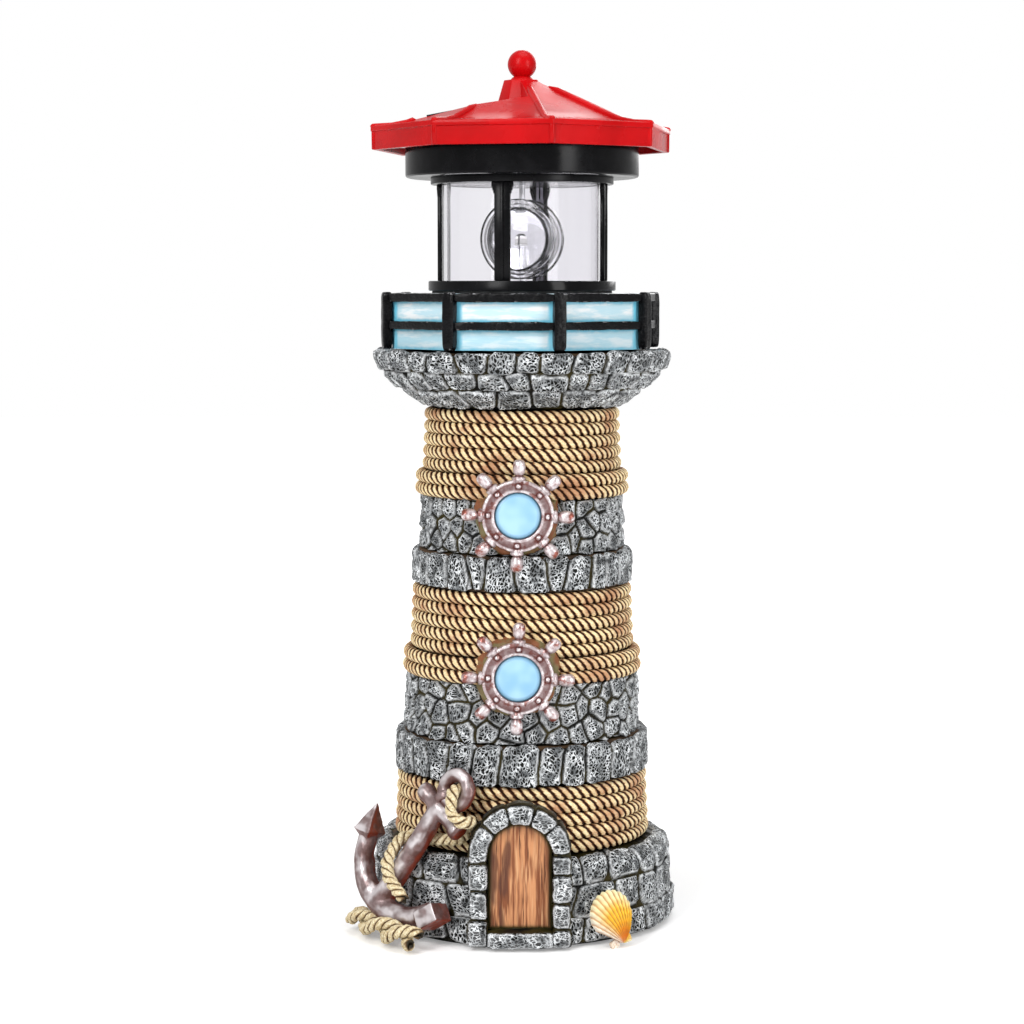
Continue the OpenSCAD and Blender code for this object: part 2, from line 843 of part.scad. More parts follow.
module scallop_shell() {
    // The ball whose cap is the shell's swell
    ball = (pow(shell_w / 2 + 1, 2) + pow(shell_swell, 2)) / (2 * shell_swell);
    mid = shell_l - shell_w / 2;
    color("moccasin")
        rotate([0, 0, shell_heading])
            translate([shell_hinge_x, -shell_hinge_r, shell_hinge_z])
                rotate([90 - shell_lean, 0, 0])
                    rotate([0, 0, shell_roll])
                        difference() {
                            intersection() {
                                linear_extrude(shell_swell + 1)
                                    hull() {
                                        translate([0, mid])
                                            circle(shell_w / 2, $fn = 48);
                                        circle(2.4, $fn = 24);
                                    }
                                translate([0, mid, shell_swell - ball])
                                    sphere(ball + 1.6);
                            }
                            difference() {
                                for (i = [1:shell_ribs - 1])
                                    rotate([0, 0, (i / shell_ribs - 0.5) * 78])
                                        translate([-rib_groove / 2, 3, -1])
                                            cube([rib_groove, shell_l, shell_swell + 4]);
                                translate([0, mid, shell_swell - ball])
                                    sphere(ball + 1.6 - rib_groove);
                            }
                        }
}

// ---------------------------------------------------------------- gallery

gallery_wall = 3.5;
rail_t = 3.2;
rail_gap = 0.15;

module octagon(r, h) {
    rotate([0, 0, gallery_turn - 90])
        cylinder(h = h, r = r, $fn = 8);
}

module gallery_drum() {
    color("lightsteelblue")
        translate([0, 0, deck_z + seat_gap])
            difference() {
                octagon(gallery_r, gallery_h - seat_gap);
                translate([0, 0, -1])
                    cylinder(h = gallery_h + 2, r = bore_r);
                translate([0, 0, -1])
                    difference() {
                        octagon(gallery_r - gallery_wall, gallery_h - gallery_wall);
                        cylinder(h = gallery_h, r = bore_r + gallery_wall);
                    }
            }
}

module rail(z) {
    translate([0, 0, z])
        difference() {
            octagon(gallery_r + rail_t, rail_h);
            translate([0, 0, -1])
                octagon(gallery_r + rail_gap, rail_h + 2);
        }
}

module gallery_railing() {
    color("aliceblue")
        difference() {
            union() {
                rail(gallery_top_z - rail_h);
                rail(deck_z + mid_rail_z - rail_h / 2);
                for (i = [0:7])
                    rotate([0, 0, gallery_turn - 90 + 45 * i])
                        translate([gallery_r + rail_t / 2 - post_w / 2, -post_w / 2, deck_z + seat_gap])
                            cube([post_w, post_w, gallery_h + 0.4]);
            }
            translate([0, 0, deck_z - 1])
                octagon(gallery_r + rail_gap, gallery_h + 3);
        }
}

// ---------------------------------------------------------------- lantern

gasket_t = 0.9;
gasket_w = 3.6;
head_z = gallery_top_z + gasket_t;
base_top_z = head_z + base_ring_h;
top_ring_z = base_top_z + glazing_h;
collar_z = top_ring_z + top_ring_h;
soffit_z = collar_z + collar_h;
groove_depth = 1.5;
column_gap = 0.2;
column_headings = [-103.4, -13.4, 76.6, 166.6];
rear_column = 3;
column_rib_w = 1.6;
column_rib_h = 0.5;
column_head_w = 1.2;
column_head_h = 2.4;
lead_d = 1.2;
lead_groove_w = 3.4;
lead_groove_depth = 1.3;
lead_foot = 2.8;
housing_r = bore_r - drop_gap;
column_in_r = glazing_r + column_gap;
column_out_r = column_in_r + column_t;

// Turn a thing made on the +X side to a heading, counted from the front towards +X
module at_heading(heading) {
    rotate([0, 0, heading - 90])
        children();
}

module seating_gasket() {
    color("dimgray")
        translate([0, 0, gallery_top_z + 0.01])
            difference() {
                cylinder(h = gasket_t - 0.02, r = bore_r + 0.6 + gasket_w);
                translate([0, 0, -1])
                    cylinder(h = gasket_t + 2, r = bore_r + 0.6);
            }
}

module glazing_groove(z, up) {
    translate([0, 0, z - (up ? 0 : groove_depth)])
        difference() {
            cylinder(h = groove_depth, r = glazing_r + seat_gap);
            translate([0, 0, -1])
                cylinder(h = groove_depth + 2, r = glazing_r - glazing_t - seat_gap);
        }
}

lead_holes = [-1, 1];
lead_hole_r = lead_d / 2 + 0.3;
lead_offset = 0.95;
// The leads run in the rear column's groove, outside the clear cylinder
lead_line_r = column_in_r + lead_d / 2;

// Holes for the two leads beside the rear column
module lead_passages(z, h) {
    at_heading(column_headings[rear_column])
        for (side = lead_holes)
            translate([lead_line_r, side * lead_offset, z])
                cylinder(h = h, r = lead_hole_r, $fn = 24);
}

module base_ring() {
    color("#202022")
        difference() {
            translate([0, 0, head_z])
                cylinder(h = base_ring_h, r = base_ring_r);
            glazing_groove(base_top_z + eps, false);
            translate([0, 0, head_z - 1])
                cylinder(h = base_ring_h + 2, r = led_post_r + seat_gap);
            lead_passages(base_top_z - lead_foot, lead_foot + 1);
            for (i = [0:2])
                rotate([0, 0, full_turn * i / 3 + 30])
                    translate([screw_circle_r, 0, head_z - 1])
                        cylinder(h = ring_screw_depth + 1, r = screw_r + 0.02, $fn = 24);
        }
}

module clear_cylinder() {
    color("lightcyan", 0.4)
        translate([0, 0, base_top_z - groove_depth + seat_gap])
            difference() {
                cylinder(h = glazing_h + 2 * (groove_depth - seat_gap), r = glazing_r);
                translate([0, 0, -1])
                    cylinder(h = glazing_h + 2 * groove_depth + 2, r = glazing_r - glazing_t);
            }
}

module column(rear) {
    difference() {
        intersection() {
            translate([0, 0, base_top_z])
                difference() {
                    cylinder(h = glazing_h, r = column_out_r);
                    translate([0, 0, -1])
                        cylinder(h = glazing_h + 2, r = column_in_r);
                }
            translate([0, 0, base_top_z])
                union() {
                    translate([0, -column_w / 2, 0])
                        cube([2 * column_out_r, column_w, glazing_h]);
                    translate([0, -column_w / 2 - column_head_w, glazing_h - column_head_h])
                        cube([2 * column_out_r, column_w + 2 * column_head_w, column_head_h]);
                }
        }
        if (rear)
            translate([0, -lead_groove_w / 2, base_top_z - 1])
                cube([column_in_r + lead_groove_depth, lead_groove_w, glazing_h + 2]);
    }
    translate([column_out_r - 0.3, -column_rib_w / 2, base_top_z])
        cube([column_rib_h + 0.3, column_rib_w, glazing_h]);
}

module lantern_columns() {
    color("#202022")
        for (i = [0:len(column_headings) - 1])
            at_heading(column_headings[i])
                column(i == rear_column);
}

bearing_boss_r = 4;

module top_ring() {
    color("#202022")
        difference() {
            translate([0, 0, top_ring_z])
                cylinder(h = top_ring_h, r = top_ring_r);
            glazing_groove(top_ring_z - eps, true);
            translate([0, 0, top_ring_z - 1])
                cylinder(h = top_ring_h + 2, r = shaft_r + running_gap);
            lead_passages(top_ring_z - 1, top_ring_h + 2);
        }
}

// ---------------------------------------------------------------- turning lens

lens_t = 4.4;
band_wall = 2;
band_r = beacon_r - 2.5;
band_half = beacon_t / 2 - lens_t;
beacon_mid_z = base_top_z + beacon_z;
led_post_r = 1.8;
led_r = 2.4;
led_hole_r = led_r + 0.9;
gear_z = collar_z + plastic_wall + 1.2;
drive_plate_z = gear_z + gear_w + 2.2;
drive_plate_t = 1.6;
spindle_foot_r = 2.4;
spindle_foot_t = 0.8;

module place_beacon() {
    translate([0, 0, beacon_mid_z])
        rotate([0, 0, beacon_turn])
            children();
}

module beacon_lens(front) {
    place_beacon()
        rotate([front ? 90 : -90, 0, 0])
            translate([0, 0, band_half + 0.01])
                rotate_extrude()
                    polygon([
                        [0, 0], [beacon_r, 0], [beacon_r, lens_t * 0.45], [beacon_r - 1, lens_t * 0.6],
                        [beacon_r * 0.7, lens_t * 0.82], [beacon_r * 0.36, lens_t * 0.96], [0, lens_t]
                    ]);
}

module lens_front() {
    color("aliceblue", 0.5)
        beacon_lens(true);
}

module lens_rear() {
    color("aliceblue", 0.5)
        beacon_lens(false);
}

module lens_band() {
    color("lightcyan", 0.5)
        place_beacon()
            difference() {
                rotate([90, 0, 0])
                    translate([0, 0, -band_half])
                        difference() {
                            cylinder(h = 2 * band_half, r = band_r);
                            translate([0, 0, -1])
                                cylinder(h = 2 * band_half + 2, r = band_r - band_wall);
                        }
                translate([0, 0, -2 * band_r])
                    cylinder(h = 2 * band_r, r = led_hole_r);
                cylinder(h = 2 * band_r, r = shaft_r + 0.01);
            }
}

// The spindle hangs the lens from the gear over the top ring
module lens_spindle() {
    foot_z = beacon_mid_z + band_r - band_wall - spindle_foot_t - 0.4;
    color("silver") {
        translate([0, 0, foot_z])
            cylinder(h = drive_plate_z + drive_plate_t - foot_z, r = shaft_r);
        translate([0, 0, foot_z])
            cylinder(h = spindle_foot_t, r = spindle_foot_r);
    }
}

// ---------------------------------------------------------------- gears

pressure_angle = 20;
addendum = 0.8;
dedendum = 1.05;
backlash = 0.12;
flank_steps = 4;

function pitch_radius(teeth) = gear_module * teeth / 2;
function involute(angle) = tan(angle) * 180 / PI - angle;
// Half angle of a tooth at radius r
function half_tooth(teeth, r) =
    let (
        rp = pitch_radius(teeth),
        rb = rp * cos(pressure_angle),
        at = acos(min(1, rb / max(r, rb)))
    )
    90 / teeth - backlash / 2 / rp * 180 / PI + involute(pressure_angle) - involute(at);

function tooth_points(teeth, centre) =
    let (
        rp = pitch_radius(teeth),
        low = rp - dedendum * gear_module,
        high = rp + addendum * gear_module,
        radii = [for (i = [0:flank_steps]) low + (high - low) * i / flank_steps]
    )
    concat(
        [for (r = radii) r * [cos(centre - half_tooth(teeth, r)), sin(centre - half_tooth(teeth, r))]],
        [for (i = [flank_steps:-1:0])
            let (r = radii[i])
            r * [cos(centre + half_tooth(teeth, r)), sin(centre + half_tooth(teeth, r))]]
    );

module gear(teeth, phase, bore) {
    difference() {
        linear_extrude(gear_w)
            polygon([for (i = [0:teeth - 1]) each tooth_points(teeth, phase + full_turn * i / teeth)]);
        translate([0, 0, -1])
            cylinder(h = gear_w + 2, r = bore, $fn = 48);
    }
}

// Headings of the idler from the spindle and of the pinion from the idler
idler_heading = 40;
pinion_heading = -50;
idler_at = (pitch_radius(spindle_teeth) + pitch_radius(idler_teeth))
    * [cos(idler_heading), sin(idler_heading)];
pinion_at = idler_at
    + (pitch_radius(idler_teeth) + pitch_radius(pinion_teeth)) * [cos(pinion_heading), sin(pinion_heading)];

// Turn of a gear so that it meshes with a driver at the given heading from that driver
function mesh_phase(heading, driver_teeth, driver_phase, teeth) =
    heading + 180 - (0.5 - (heading - driver_phase) * driver_teeth / full_turn) * full_turn / teeth;

idler_phase = mesh_phase(idler_heading, spindle_teeth, 0, idler_teeth);
pinion_phase = mesh_phase(pinion_heading, idler_teeth, idler_phase, pinion_teeth);

module spindle_gear() {
    color("ivory")
        translate([0, 0, gear_z])
            gear(spindle_teeth, 0, shaft_r + 0.01);
}

module idler_gear() {
    color("ivory")
        translate([idler_at.x, idler_at.y, gear_z])
            gear(idler_teeth, idler_phase, shaft_r + running_gap);
}

module drive_pinion() {
    color("goldenrod")
        translate([pinion_at.x, pinion_at.y, gear_z])
            gear(pinion_teeth, pinion_phase, shaft_r + 0.01);
}

motor_r = 6;
motor_h = 10;
motor_bore_depth = 6;
motor_z = drive_plate_z + drive_plate_t + 0.02;
post_r = 1.8;
post_headings = [85, 165, 245, 325];
post_at_r = 21.5;

module motor_shaft() {
    color("silver")
        translate([pinion_at.x, pinion_at.y, gear_z])
            cylinder(h = motor_z - gear_z + motor_bore_depth - 0.3, r = shaft_r);
}

module motor() {
    color("lightgray")
        translate([pinion_at.x, pinion_at.y, motor_z])
            difference() {
                union() {
                    cylinder(h = motor_h, r = motor_r);
                    translate([0, 0, motor_h - 0.01])
                        cylinder(h = 1, r = 2);
                }
                translate([0, 0, -1])
                    cylinder(h = motor_bore_depth + 1, r = shaft_r + running_gap);
            }
}

// Plate over the gears that carries the motor and the upper ends of the shafts
module drive_plate() {
    plate_r = 27;
    color("gray")
        difference() {
            translate([0, 0, drive_plate_z])
                union() {
                    cylinder(h = drive_plate_t, r = plate_r);
                    translate([pinion_at.x, pinion_at.y, 0])
                        cylinder(h = drive_plate_t, r = motor_r + 2);
                }
            for (at = [[0, 0], idler_at, pinion_at])
                translate([at.x, at.y, drive_plate_z - 1])
                    cylinder(h = drive_plate_t + 2, r = shaft_r + running_gap);
            for (heading = post_headings)
                rotate([0, 0, heading])
                    translate([post_at_r, 0, drive_plate_z - 1])
                        cylinder(h = drive_plate_t + 2, r = screw_r + seat_gap, $fn = 24);
        }
}

module idler_post() {
    color("silver")
        translate([idler_at.x, idler_at.y, collar_z + plastic_wall - 1])
            cylinder(h = drive_plate_z + drive_plate_t - collar_z - plastic_wall + 1, r = shaft_r);
}

screw_r = 1.1;
screw_head_r = 2;
screw_head_h = 1.2;
screw_circle_r = 28;
boss_l = 12;
ring_screw_depth = 3;

// A pan-head screw with its head up and its shank below z = 0
module screw(length) {
    cylinder(h = screw_head_h, r = screw_head_r, $fn = 32);
    translate([0, 0, -length])
        cylinder(h = length + 0.1, r = screw_r, $fn = 32);
}

module drive_screws() {
    color("silver")
        for (heading = post_headings)
            rotate([0, 0, heading])
                translate([post_at_r, 0, drive_plate_z + drive_plate_t + 0.02])
                    screw(drive_plate_t + 3);
}

// ---------------------------------------------------------------- collar and board

board_x = -32.5;
board_size = [18, 22, 1.2];
board_z = collar_z + 6;
component_gap = 0.01;

module collar_housing() {
    color("#202022")
        difference() {
            union() {
                translate([0, 0, collar_z])
                    difference() {
                        cylinder(h = collar_h, r = collar_r);
                        translate([0, 0, plastic_wall])
                            cylinder(h = collar_h, r = collar_r - plastic_wall);
                    }
                for (heading = post_headings)
                    rotate([0, 0, heading])
                        translate([post_at_r, 0, collar_z + eps])
                            cylinder(h = drive_plate_z - collar_z - eps, r = post_r, $fn = 48);
                for (side = [-1, 1])
                    translate([board_x, side * board_size.y * 0.34, collar_z + eps])
                        cylinder(h = board_z - collar_z - eps, r = post_r, $fn = 48);
            }
            translate([0, 0, collar_z - 1])
                cylinder(h = plastic_wall + 2, r = bearing_boss_r);
            translate([idler_at.x, idler_at.y, collar_z + plastic_wall - 1])
                cylinder(h = 3, r = shaft_r + 0.01);
            lead_passages(collar_z - 1, plastic_wall + 2);
            for (heading = post_headings)
                rotate([0, 0, heading])
                    translate([post_at_r, 0, drive_plate_z - 4])
                        cylinder(h = 5, r = screw_r + 0.02, $fn = 24);
        }
}

module circuit_board() {
    color("darkgreen")
        translate([board_x, 0, board_z])
            union() {
                translate([-board_size.x / 2, -board_size.y / 2, 0])
                    cube(board_size);
                translate([-4, -3, board_size.z - component_gap])
                    cube([6, 5, 1.5]);
                translate([-2, 7, board_size.z - component_gap])
                    cylinder(h = 3.4, r = 2.2);
                translate([-7, -8, board_size.z - component_gap])
                    cube([4, 2.2, 1]);
            }
}

// ---------------------------------------------------------------- base housing

housing_z = head_z - housing_depth;
housing_wall = 2;
battery_z = housing_z + housing_wall + 0.6 + battery_d / 2;
well_w = battery_d + 1.2;
end_wall_t = 1.6;
spring_l = 4.6;
contact_t = 0.6;
stud_r = 2.7;
stud_l = 1;
battery_x0 = -battery_l / 2 - stud_l / 2;
spring_wall_x = battery_x0 - spring_l;
contact_wall_x = battery_x0 + battery_l + stud_l + contact_t + 0.1;
door_gap = 0.3;
cover_t = 1.8;
hinge_r = 1.4;
hinge_pin_r = 0.7;
hinge_y = well_w / 2 + 1.8;
hinge_z = housing_z - 0.3;
hinge_len = 7;
switch_y = -19;
switch_body = [13, 6.4, 5];
knob_w = 3.8;
slot_spare = 0.6;
slot_w = 2.6;
switch_slot = [switch_travel + knob_w + slot_spare, slot_w];

module housing_floor_holes() {
    translate([spring_wall_x, -well_w / 2, housing_z - 1])
        cube([contact_wall_x - spring_wall_x, well_w, housing_wall + 2]);
    translate([-switch_slot.x / 2, switch_y - switch_slot.y / 2, housing_z - 1])
        cube([switch_slot.x, switch_slot.y, housing_wall + 2]);
}

module base_housing() {
    saddle_z = battery_z + battery_d / 2 + 0.3;
    color("#202022")
        difference() {
            union() {
                translate([0, 0, housing_z])
                    difference() {
                        cylinder(h = housing_depth - 0.02, r = housing_r);
                        translate([0, 0, housing_wall])
                            cylinder(h = housing_depth, r = housing_r - housing_wall);
                    }
                for (x = [spring_wall_x - end_wall_t, contact_wall_x])
                    translate([x, -well_w / 2, housing_z + housing_wall - eps])
                        cube([end_wall_t, well_w, battery_d + 1]);
                translate([spring_wall_x - end_wall_t, -well_w / 2, saddle_z])
                    cube([contact_wall_x - spring_wall_x + 2 * end_wall_t, well_w, 1.6]);
                for (i = [0:2])
                    rotate([0, 0, full_turn * i / 3 + 30])
                        translate([screw_circle_r, 0, head_z - boss_l])
                            cylinder(h = boss_l - 0.02, r = post_r + 0.8, $fn = 48);
                for (side = [-1, 1])
                    translate([side * hinge_len * 2, hinge_y, hinge_z])
                        translate([side * hinge_len / 2 - hinge_len / 2, 0, 0])
                            union() {
                                rotate([0, 90, 0])
                                    cylinder(h = hinge_len, r = hinge_r, $fn = 48);
                                translate([0, -hinge_r, 0])
                                    cube([hinge_len, 2 * hinge_r, housing_z - hinge_z + 0.5]);
                            }
            }
            housing_floor_holes();
            translate([-2 * hinge_len * 2, hinge_y, hinge_z])
                rotate([0, 90, 0])
                    cylinder(h = 8 * hinge_len, r = hinge_pin_r + 0.01, $fn = 48);
            for (i = [0:2])
                rotate([0, 0, full_turn * i / 3 + 30])
                    translate([screw_circle_r, 0, head_z - boss_l - 1])
                        cylinder(h = boss_l + 2, r = screw_r + 0.02, $fn = 24);
            // Relief for the cover's leaf round its hinge
            translate([-hinge_len * 2, hinge_y - hinge_r - 0.5, housing_z - 1])
                cube([4 * hinge_len, 2 * hinge_r + 1, 1 + 1.7]);
        }
}

module housing_screws() {
    color("silver")
        for (i = [0:2])
            rotate([0, 0, full_turn * i / 3 + 30])
                translate([screw_circle_r, 0, head_z - boss_l - 0.04])
                    mirror([0, 0, 1])
                        screw(boss_l + ring_screw_depth - 0.4);
}

module battery() {
    color("limegreen")
        translate([battery_x0, 0, battery_z])
            rotate([0, 90, 0])
                union() {
                    cylinder(h = battery_l, r = battery_d / 2);
                    cylinder(h = battery_l + stud_l, r = stud_r);
                }
}

module battery_contact() {
    color("silver")
        translate([contact_wall_x - contact_t - 0.02, -4, battery_z - 4])
            cube([contact_t, 8, 8]);
}

spring_wire = 0.6;
spring_coil_r = 3.2;
spring_curls = 3;
spring_rings = 8;

module battery_spring() {
    free = spring_l - 0.1;
    path = [for (i = [0:spring_curls * spring_rings])
        let (a = full_turn * i / spring_rings)
        [spring_wall_x + 0.05 + spring_wire / 2 + (free - spring_wire) * i / (spring_curls * spring_rings),
         spring_coil_r * cos(a), battery_z + spring_coil_r * sin(a)]];
    color("silver")
        tube(path, spring_wire, rope_sides, [1, 0, 0]);
}

// Cover under the battery, swinging down on its pin along the far edge of the well
module battery_cover() {
    leaf = 4 * hinge_len - 2 * door_gap;
    near_y = -well_w / 2 + door_gap;
    color("#26262a")
        difference() {
            union() {
                translate([spring_wall_x + door_gap, near_y, housing_z])
                    cube([contact_wall_x - spring_wall_x - 2 * door_gap, well_w - 2 * door_gap, cover_t]);
                translate([-leaf / 2, well_w / 2 - door_gap - 1, hinge_z - hinge_r + 0.2])
                    cube([leaf, hinge_y - well_w / 2 + door_gap + 1, cover_t + 0.6]);
                translate([-leaf / 2, hinge_y, hinge_z])
                    rotate([0, 90, 0])
                        cylinder(h = leaf, r = hinge_r, $fn = 48);
            }
            translate([-leaf, hinge_y, hinge_z])
                rotate([0, 90, 0])
                    cylinder(h = 2 * leaf, r = hinge_pin_r + running_gap, $fn = 48);
        }
}

module cover_pin() {
    reach = 2 * hinge_len + hinge_len;
    color("silver")
        translate([-reach, hinge_y, hinge_z])
            rotate([0, 90, 0])
                cylinder(h = 2 * reach, r = hinge_pin_r, $fn = 48);
}

flange_w = 4.4;
flange_h = 1.4;

module switch_body() {
    color("gray")
        translate([0, switch_y, housing_z + housing_wall + 0.02])
            difference() {
                translate([-switch_body.x / 2, -switch_body.y / 2, 0])
                    cube(switch_body);
                translate([-switch_slot.x / 2, -flange_w / 2 - 0.2, -1])
                    cube([switch_slot.x, flange_w + 0.4, flange_h + 1.4]);
            }
}

// The knob's flange rides over the slot's edges, inside the switch
module switch_knob() {
    left = -switch_slot.x / 2 + 0.3;
    stem_w = switch_slot.y - 0.3;
    color("white")
        translate([left, switch_y, housing_z])
            union() {
                translate([0, -stem_w / 2, -1.4])
                    cube([knob_w, stem_w, 1.4 + housing_wall + 0.5]);
                translate([0, -flange_w / 2, housing_wall + 0.1])
                    cube([knob_w, flange_w, flange_h]);
            }
}

module led_post() {
    color("white")
        translate([0, 0, head_z + 0.4])
            cylinder(h = beacon_mid_z - led_r - head_z - 0.4, r = led_post_r);
}

module beacon_led() {
    color("lightyellow")
        translate([0, 0, beacon_mid_z - led_r + 0.02])
            union() {
                cylinder(h = led_r, r = led_r);
                translate([0, 0, led_r])
                    sphere(led_r);
            }
}

// Two leads in the rear column, with their ends in the collar and the housing
module column_leads() {
    low_z = base_top_z - lead_foot + 0.3;
    high_z = collar_z + plastic_wall + 3;
    color("lavender")
        at_heading(column_headings[rear_column])
            for (side = lead_holes)
                translate([lead_line_r, side * lead_offset, low_z])
                    cylinder(h = high_z - low_z, r = lead_d / 2, $fn = 24);
}

// ---------------------------------------------------------------- roof

fascia_z = soffit_z - 3.3;
eave_z = fascia_z + fascia_h;
fascia_inset = 0.9;
rim_h = 2.2;
rib_r = 1.5;
rib_overlap = 0.4;
rib_sink = 0.3;
rib_sides = 8;
corner_rib_r = 1.5;
pedestal_low_r = 11;
pedestal_high_r = 7.6;
pedestal_low_z = eave_z + 7.5;
neck_r = 4.6;
neck_h = 1.4;
shelf_heading = -101.8;
shelf_rise = 9.9;
shelf_z = eave_z + shelf_rise;
shelf_from = 12;
shelf_sweep = 225;
rib_clear = 2.3;
stem_r = 2;
stem_l = 7;
boss_r = 3;
boss_edge = 1.6;
boss_at_r = (roof_r - fascia_inset - roof_t) * cos(22.5) - boss_r - boss_edge;
boss_h = 4.2;
soffit_t = 2;
soffit_lap = 5;
// Part of the solar panel's thickness that stands above the shelf
solar_proud = 0.5;
pocket_depth = solar_t - solar_proud;
shelf_cut_h = 60;

// Corner radius and height over the eave at each break of the roof's slope
roof_breaks = [[roof_r, 0], [54, 0.4], [47.7, 1.7], [40.7, 4.4], [8, roof_rise - 0.6]];

module roof_octagon(h, r1, r2) {
    rotate([0, 0, roof_turn - 90])
        cylinder(h = h, r1 = r1, r2 = r2, $fn = 8);
}

// Eight-sided solid of the roof's outside, or of its hollow where it has an inset and a drop
module eight_sided(outline) {
    rotate([0, 0, roof_turn - 90])
        rotate_extrude($fn = 8)
            polygon(outline);
}

function slope_points(inset, drop) = [for (b = roof_breaks) [b.x - inset, eave_z + b.y - drop]];

module roof_outside() {
    eight_sided(concat(
        [[0, fascia_z], [roof_r - fascia_inset, fascia_z], [roof_r - fascia_inset, eave_z - rim_h],
         [roof_r, eave_z - rim_h]],
        slope_points(0, 0),
        [[0, eave_z + roof_breaks[len(roof_breaks) - 1].y]]
    ));
}

// The hollow ends in a flat under the solid pedestal
hollow_top_r = 15;

module roof_hollow() {
    inset = fascia_inset + roof_t;
    last = len(roof_breaks) - 1;
    low = roof_breaks[last - 1];
    high = roof_breaks[last];
    top_z = low.y + (high.y - low.y) * (low.x - inset - hollow_top_r) / (low.x - high.x) - roof_t;
    eight_sided(concat(
        [[0, fascia_z - 1], [roof_r - inset, fascia_z - 1]],
        [for (i = [0:last - 1]) slope_points(inset, roof_t)[i]],
        [[hollow_top_r, eave_z + top_z], [0, eave_z + top_z]]
    ));
}

module rib(from, to, r) {
    d = [to.x - from.x, 0, to.y - from.y];
    translate([from.x, 0, from.y])
        rotate([0, atan2(d.x, d.z), 0])
            translate([0, 0, -rib_overlap])
                cylinder(h = norm(d) + 2 * rib_overlap, r = r, $fn = rib_sides);
}

// A rib's centre line lies a little under the slope
function rib_start(i) = [roof_breaks[i].x, eave_z + roof_breaks[i].y - rib_sink];

module roof_ribs() {
    for (i = [0:7])
        rotate([0, 0, roof_turn - 90 + 45 * i]) {
            for (j = [1:len(roof_breaks) - 2])
                rib(rib_start(j), rib_start(j + 1), rib_r);
            rib([roof_r - 1, eave_z - rim_h / 2], rib_start(1), rib_r);
            translate([roof_r - fascia_inset - 0.6, 0, fascia_z])
                cylinder(h = fascia_h - 1, r = corner_rib_r, $fn = rib_sides);
        }
}

// Everything over the solar shelf's plane, on the shelf's side of the roof
module shelf_cut(drop) {
    intersection() {
        at_heading(shelf_heading)
            translate([0, 0, shelf_z - drop])
                rotate([0, shelf_slope, 0])
                    translate([-roof_r * 1.5, -roof_r * 1.5, 0])
                        cube([3 * roof_r, 3 * roof_r, shelf_cut_h]);
        translate([0, 0, eave_z - 10])
            rotate([0, 0, roof_turn - 90 - shelf_sweep])
                linear_extrude(shelf_cut_h)
                    translate(rib_clear * [cos(shelf_sweep / 2), sin(shelf_sweep / 2)])
                        polygon(concat([[0, 0]],
                            [for (a = [0:45:shelf_sweep]) 2 * roof_r * [cos(a), sin(a)]]));
    }
}

// The shell with its shelf cut, its hollow, and the pedestal over the hollow
module roof_shell() {
    difference() {
        union() {
            difference() {
                union() {
                    roof_outside();
                    roof_ribs();
                }
                shelf_cut(0);
            }
            translate([0, 0, pedestal_low_z])
                roof_octagon(eave_z + roof_rise - pedestal_low_z, pedestal_low_r, pedestal_high_r);
            translate([0, 0, eave_z + roof_rise - 1])
                cylinder(h = neck_h + 1, r = neck_r);
        }
        difference() {
            roof_hollow();
            shelf_cut(pocket_depth + roof_t);
        }
        on_shelf()
            translate([-seat_gap, -seat_gap, -0.02])
                cube([solar_w + 2 * seat_gap, solar_l + 2 * seat_gap, 2 * solar_t]);
    }
}

module roof() {
    color("crimson")
        difference() {
            union() {
                roof_shell();
                for (i = [0:7])
                    rotate([0, 0, roof_turn - 90 + 22.5 + 45 * i])
                        translate([boss_at_r, 0, soffit_z + soffit_t])
                            cylinder(h = boss_h, r = boss_r, $fn = 48);
            }
            translate([0, 0, eave_z + roof_rise + neck_h - stem_l - 0.5])
                cylinder(h = stem_l + 1, r = stem_r + 0.02);
            for (i = [0:7])
                rotate([0, 0, roof_turn - 90 + 22.5 + 45 * i])
                    translate([boss_at_r, 0, soffit_z])
                        cylinder(h = soffit_t + boss_h - 1, r = screw_r + 0.02, $fn = 24);
        }
}

module finial_ball() {
    seat_z = eave_z + roof_rise + neck_h;
    color("crimson")
        union() {
            translate([0, 0, seat_z + ball_r - 0.8])
                intersection() {
                    sphere(ball_r);
                    translate([-ball_r, -ball_r, 0.82 - ball_r])
                        cube(2 * ball_r);
                }
            translate([0, 0, seat_z - stem_l])
                cylinder(h = stem_l + 1, r = stem_r);
        }
}

module on_shelf() {
    at_heading(shelf_heading)
        translate([0, 0, shelf_z])
            rotate([0, shelf_slope, 0])
                translate([shelf_from, -solar_l / 2, 0.02 - pocket_depth])
                    children();
}

cell_margin = 2;
cell_t = 1;
cell_inset = cell_margin + seat_gap;

module solar_frame() {
    color("#18181c")
        on_shelf()
            difference() {
                cube([solar_w, solar_l, solar_t]);
                translate([cell_margin, cell_margin, solar_t - cell_t - 0.3])
                    cube([solar_w - 2 * cell_margin, solar_l - 2 * cell_margin, cell_t + 1]);
            }
}

module solar_cell() {
    color("#10182c")
        on_shelf()
            translate([cell_inset, cell_inset, solar_t - cell_t - 0.28])
                cube([solar_w - 2 * cell_inset, solar_l - 2 * cell_inset, cell_t]);
}

module soffit_plate() {
    color("gray")
        difference() {
            translate([0, 0, soffit_z + 0.01])
                roof_octagon(soffit_t - 0.02, roof_r - fascia_inset - roof_t - 0.3,
                    roof_r - fascia_inset - roof_t - 0.3);
            translate([0, 0, soffit_z - 1])
                cylinder(h = soffit_t + 2, r = collar_r - plastic_wall - soffit_lap);
            for (i = [0:7])
                rotate([0, 0, roof_turn - 90 + 22.5 + 45 * i])
                    translate([boss_at_r, 0, soffit_z - 1])
                        cylinder(h = soffit_t + 2, r = screw_r + seat_gap, $fn = 24);
        }
}

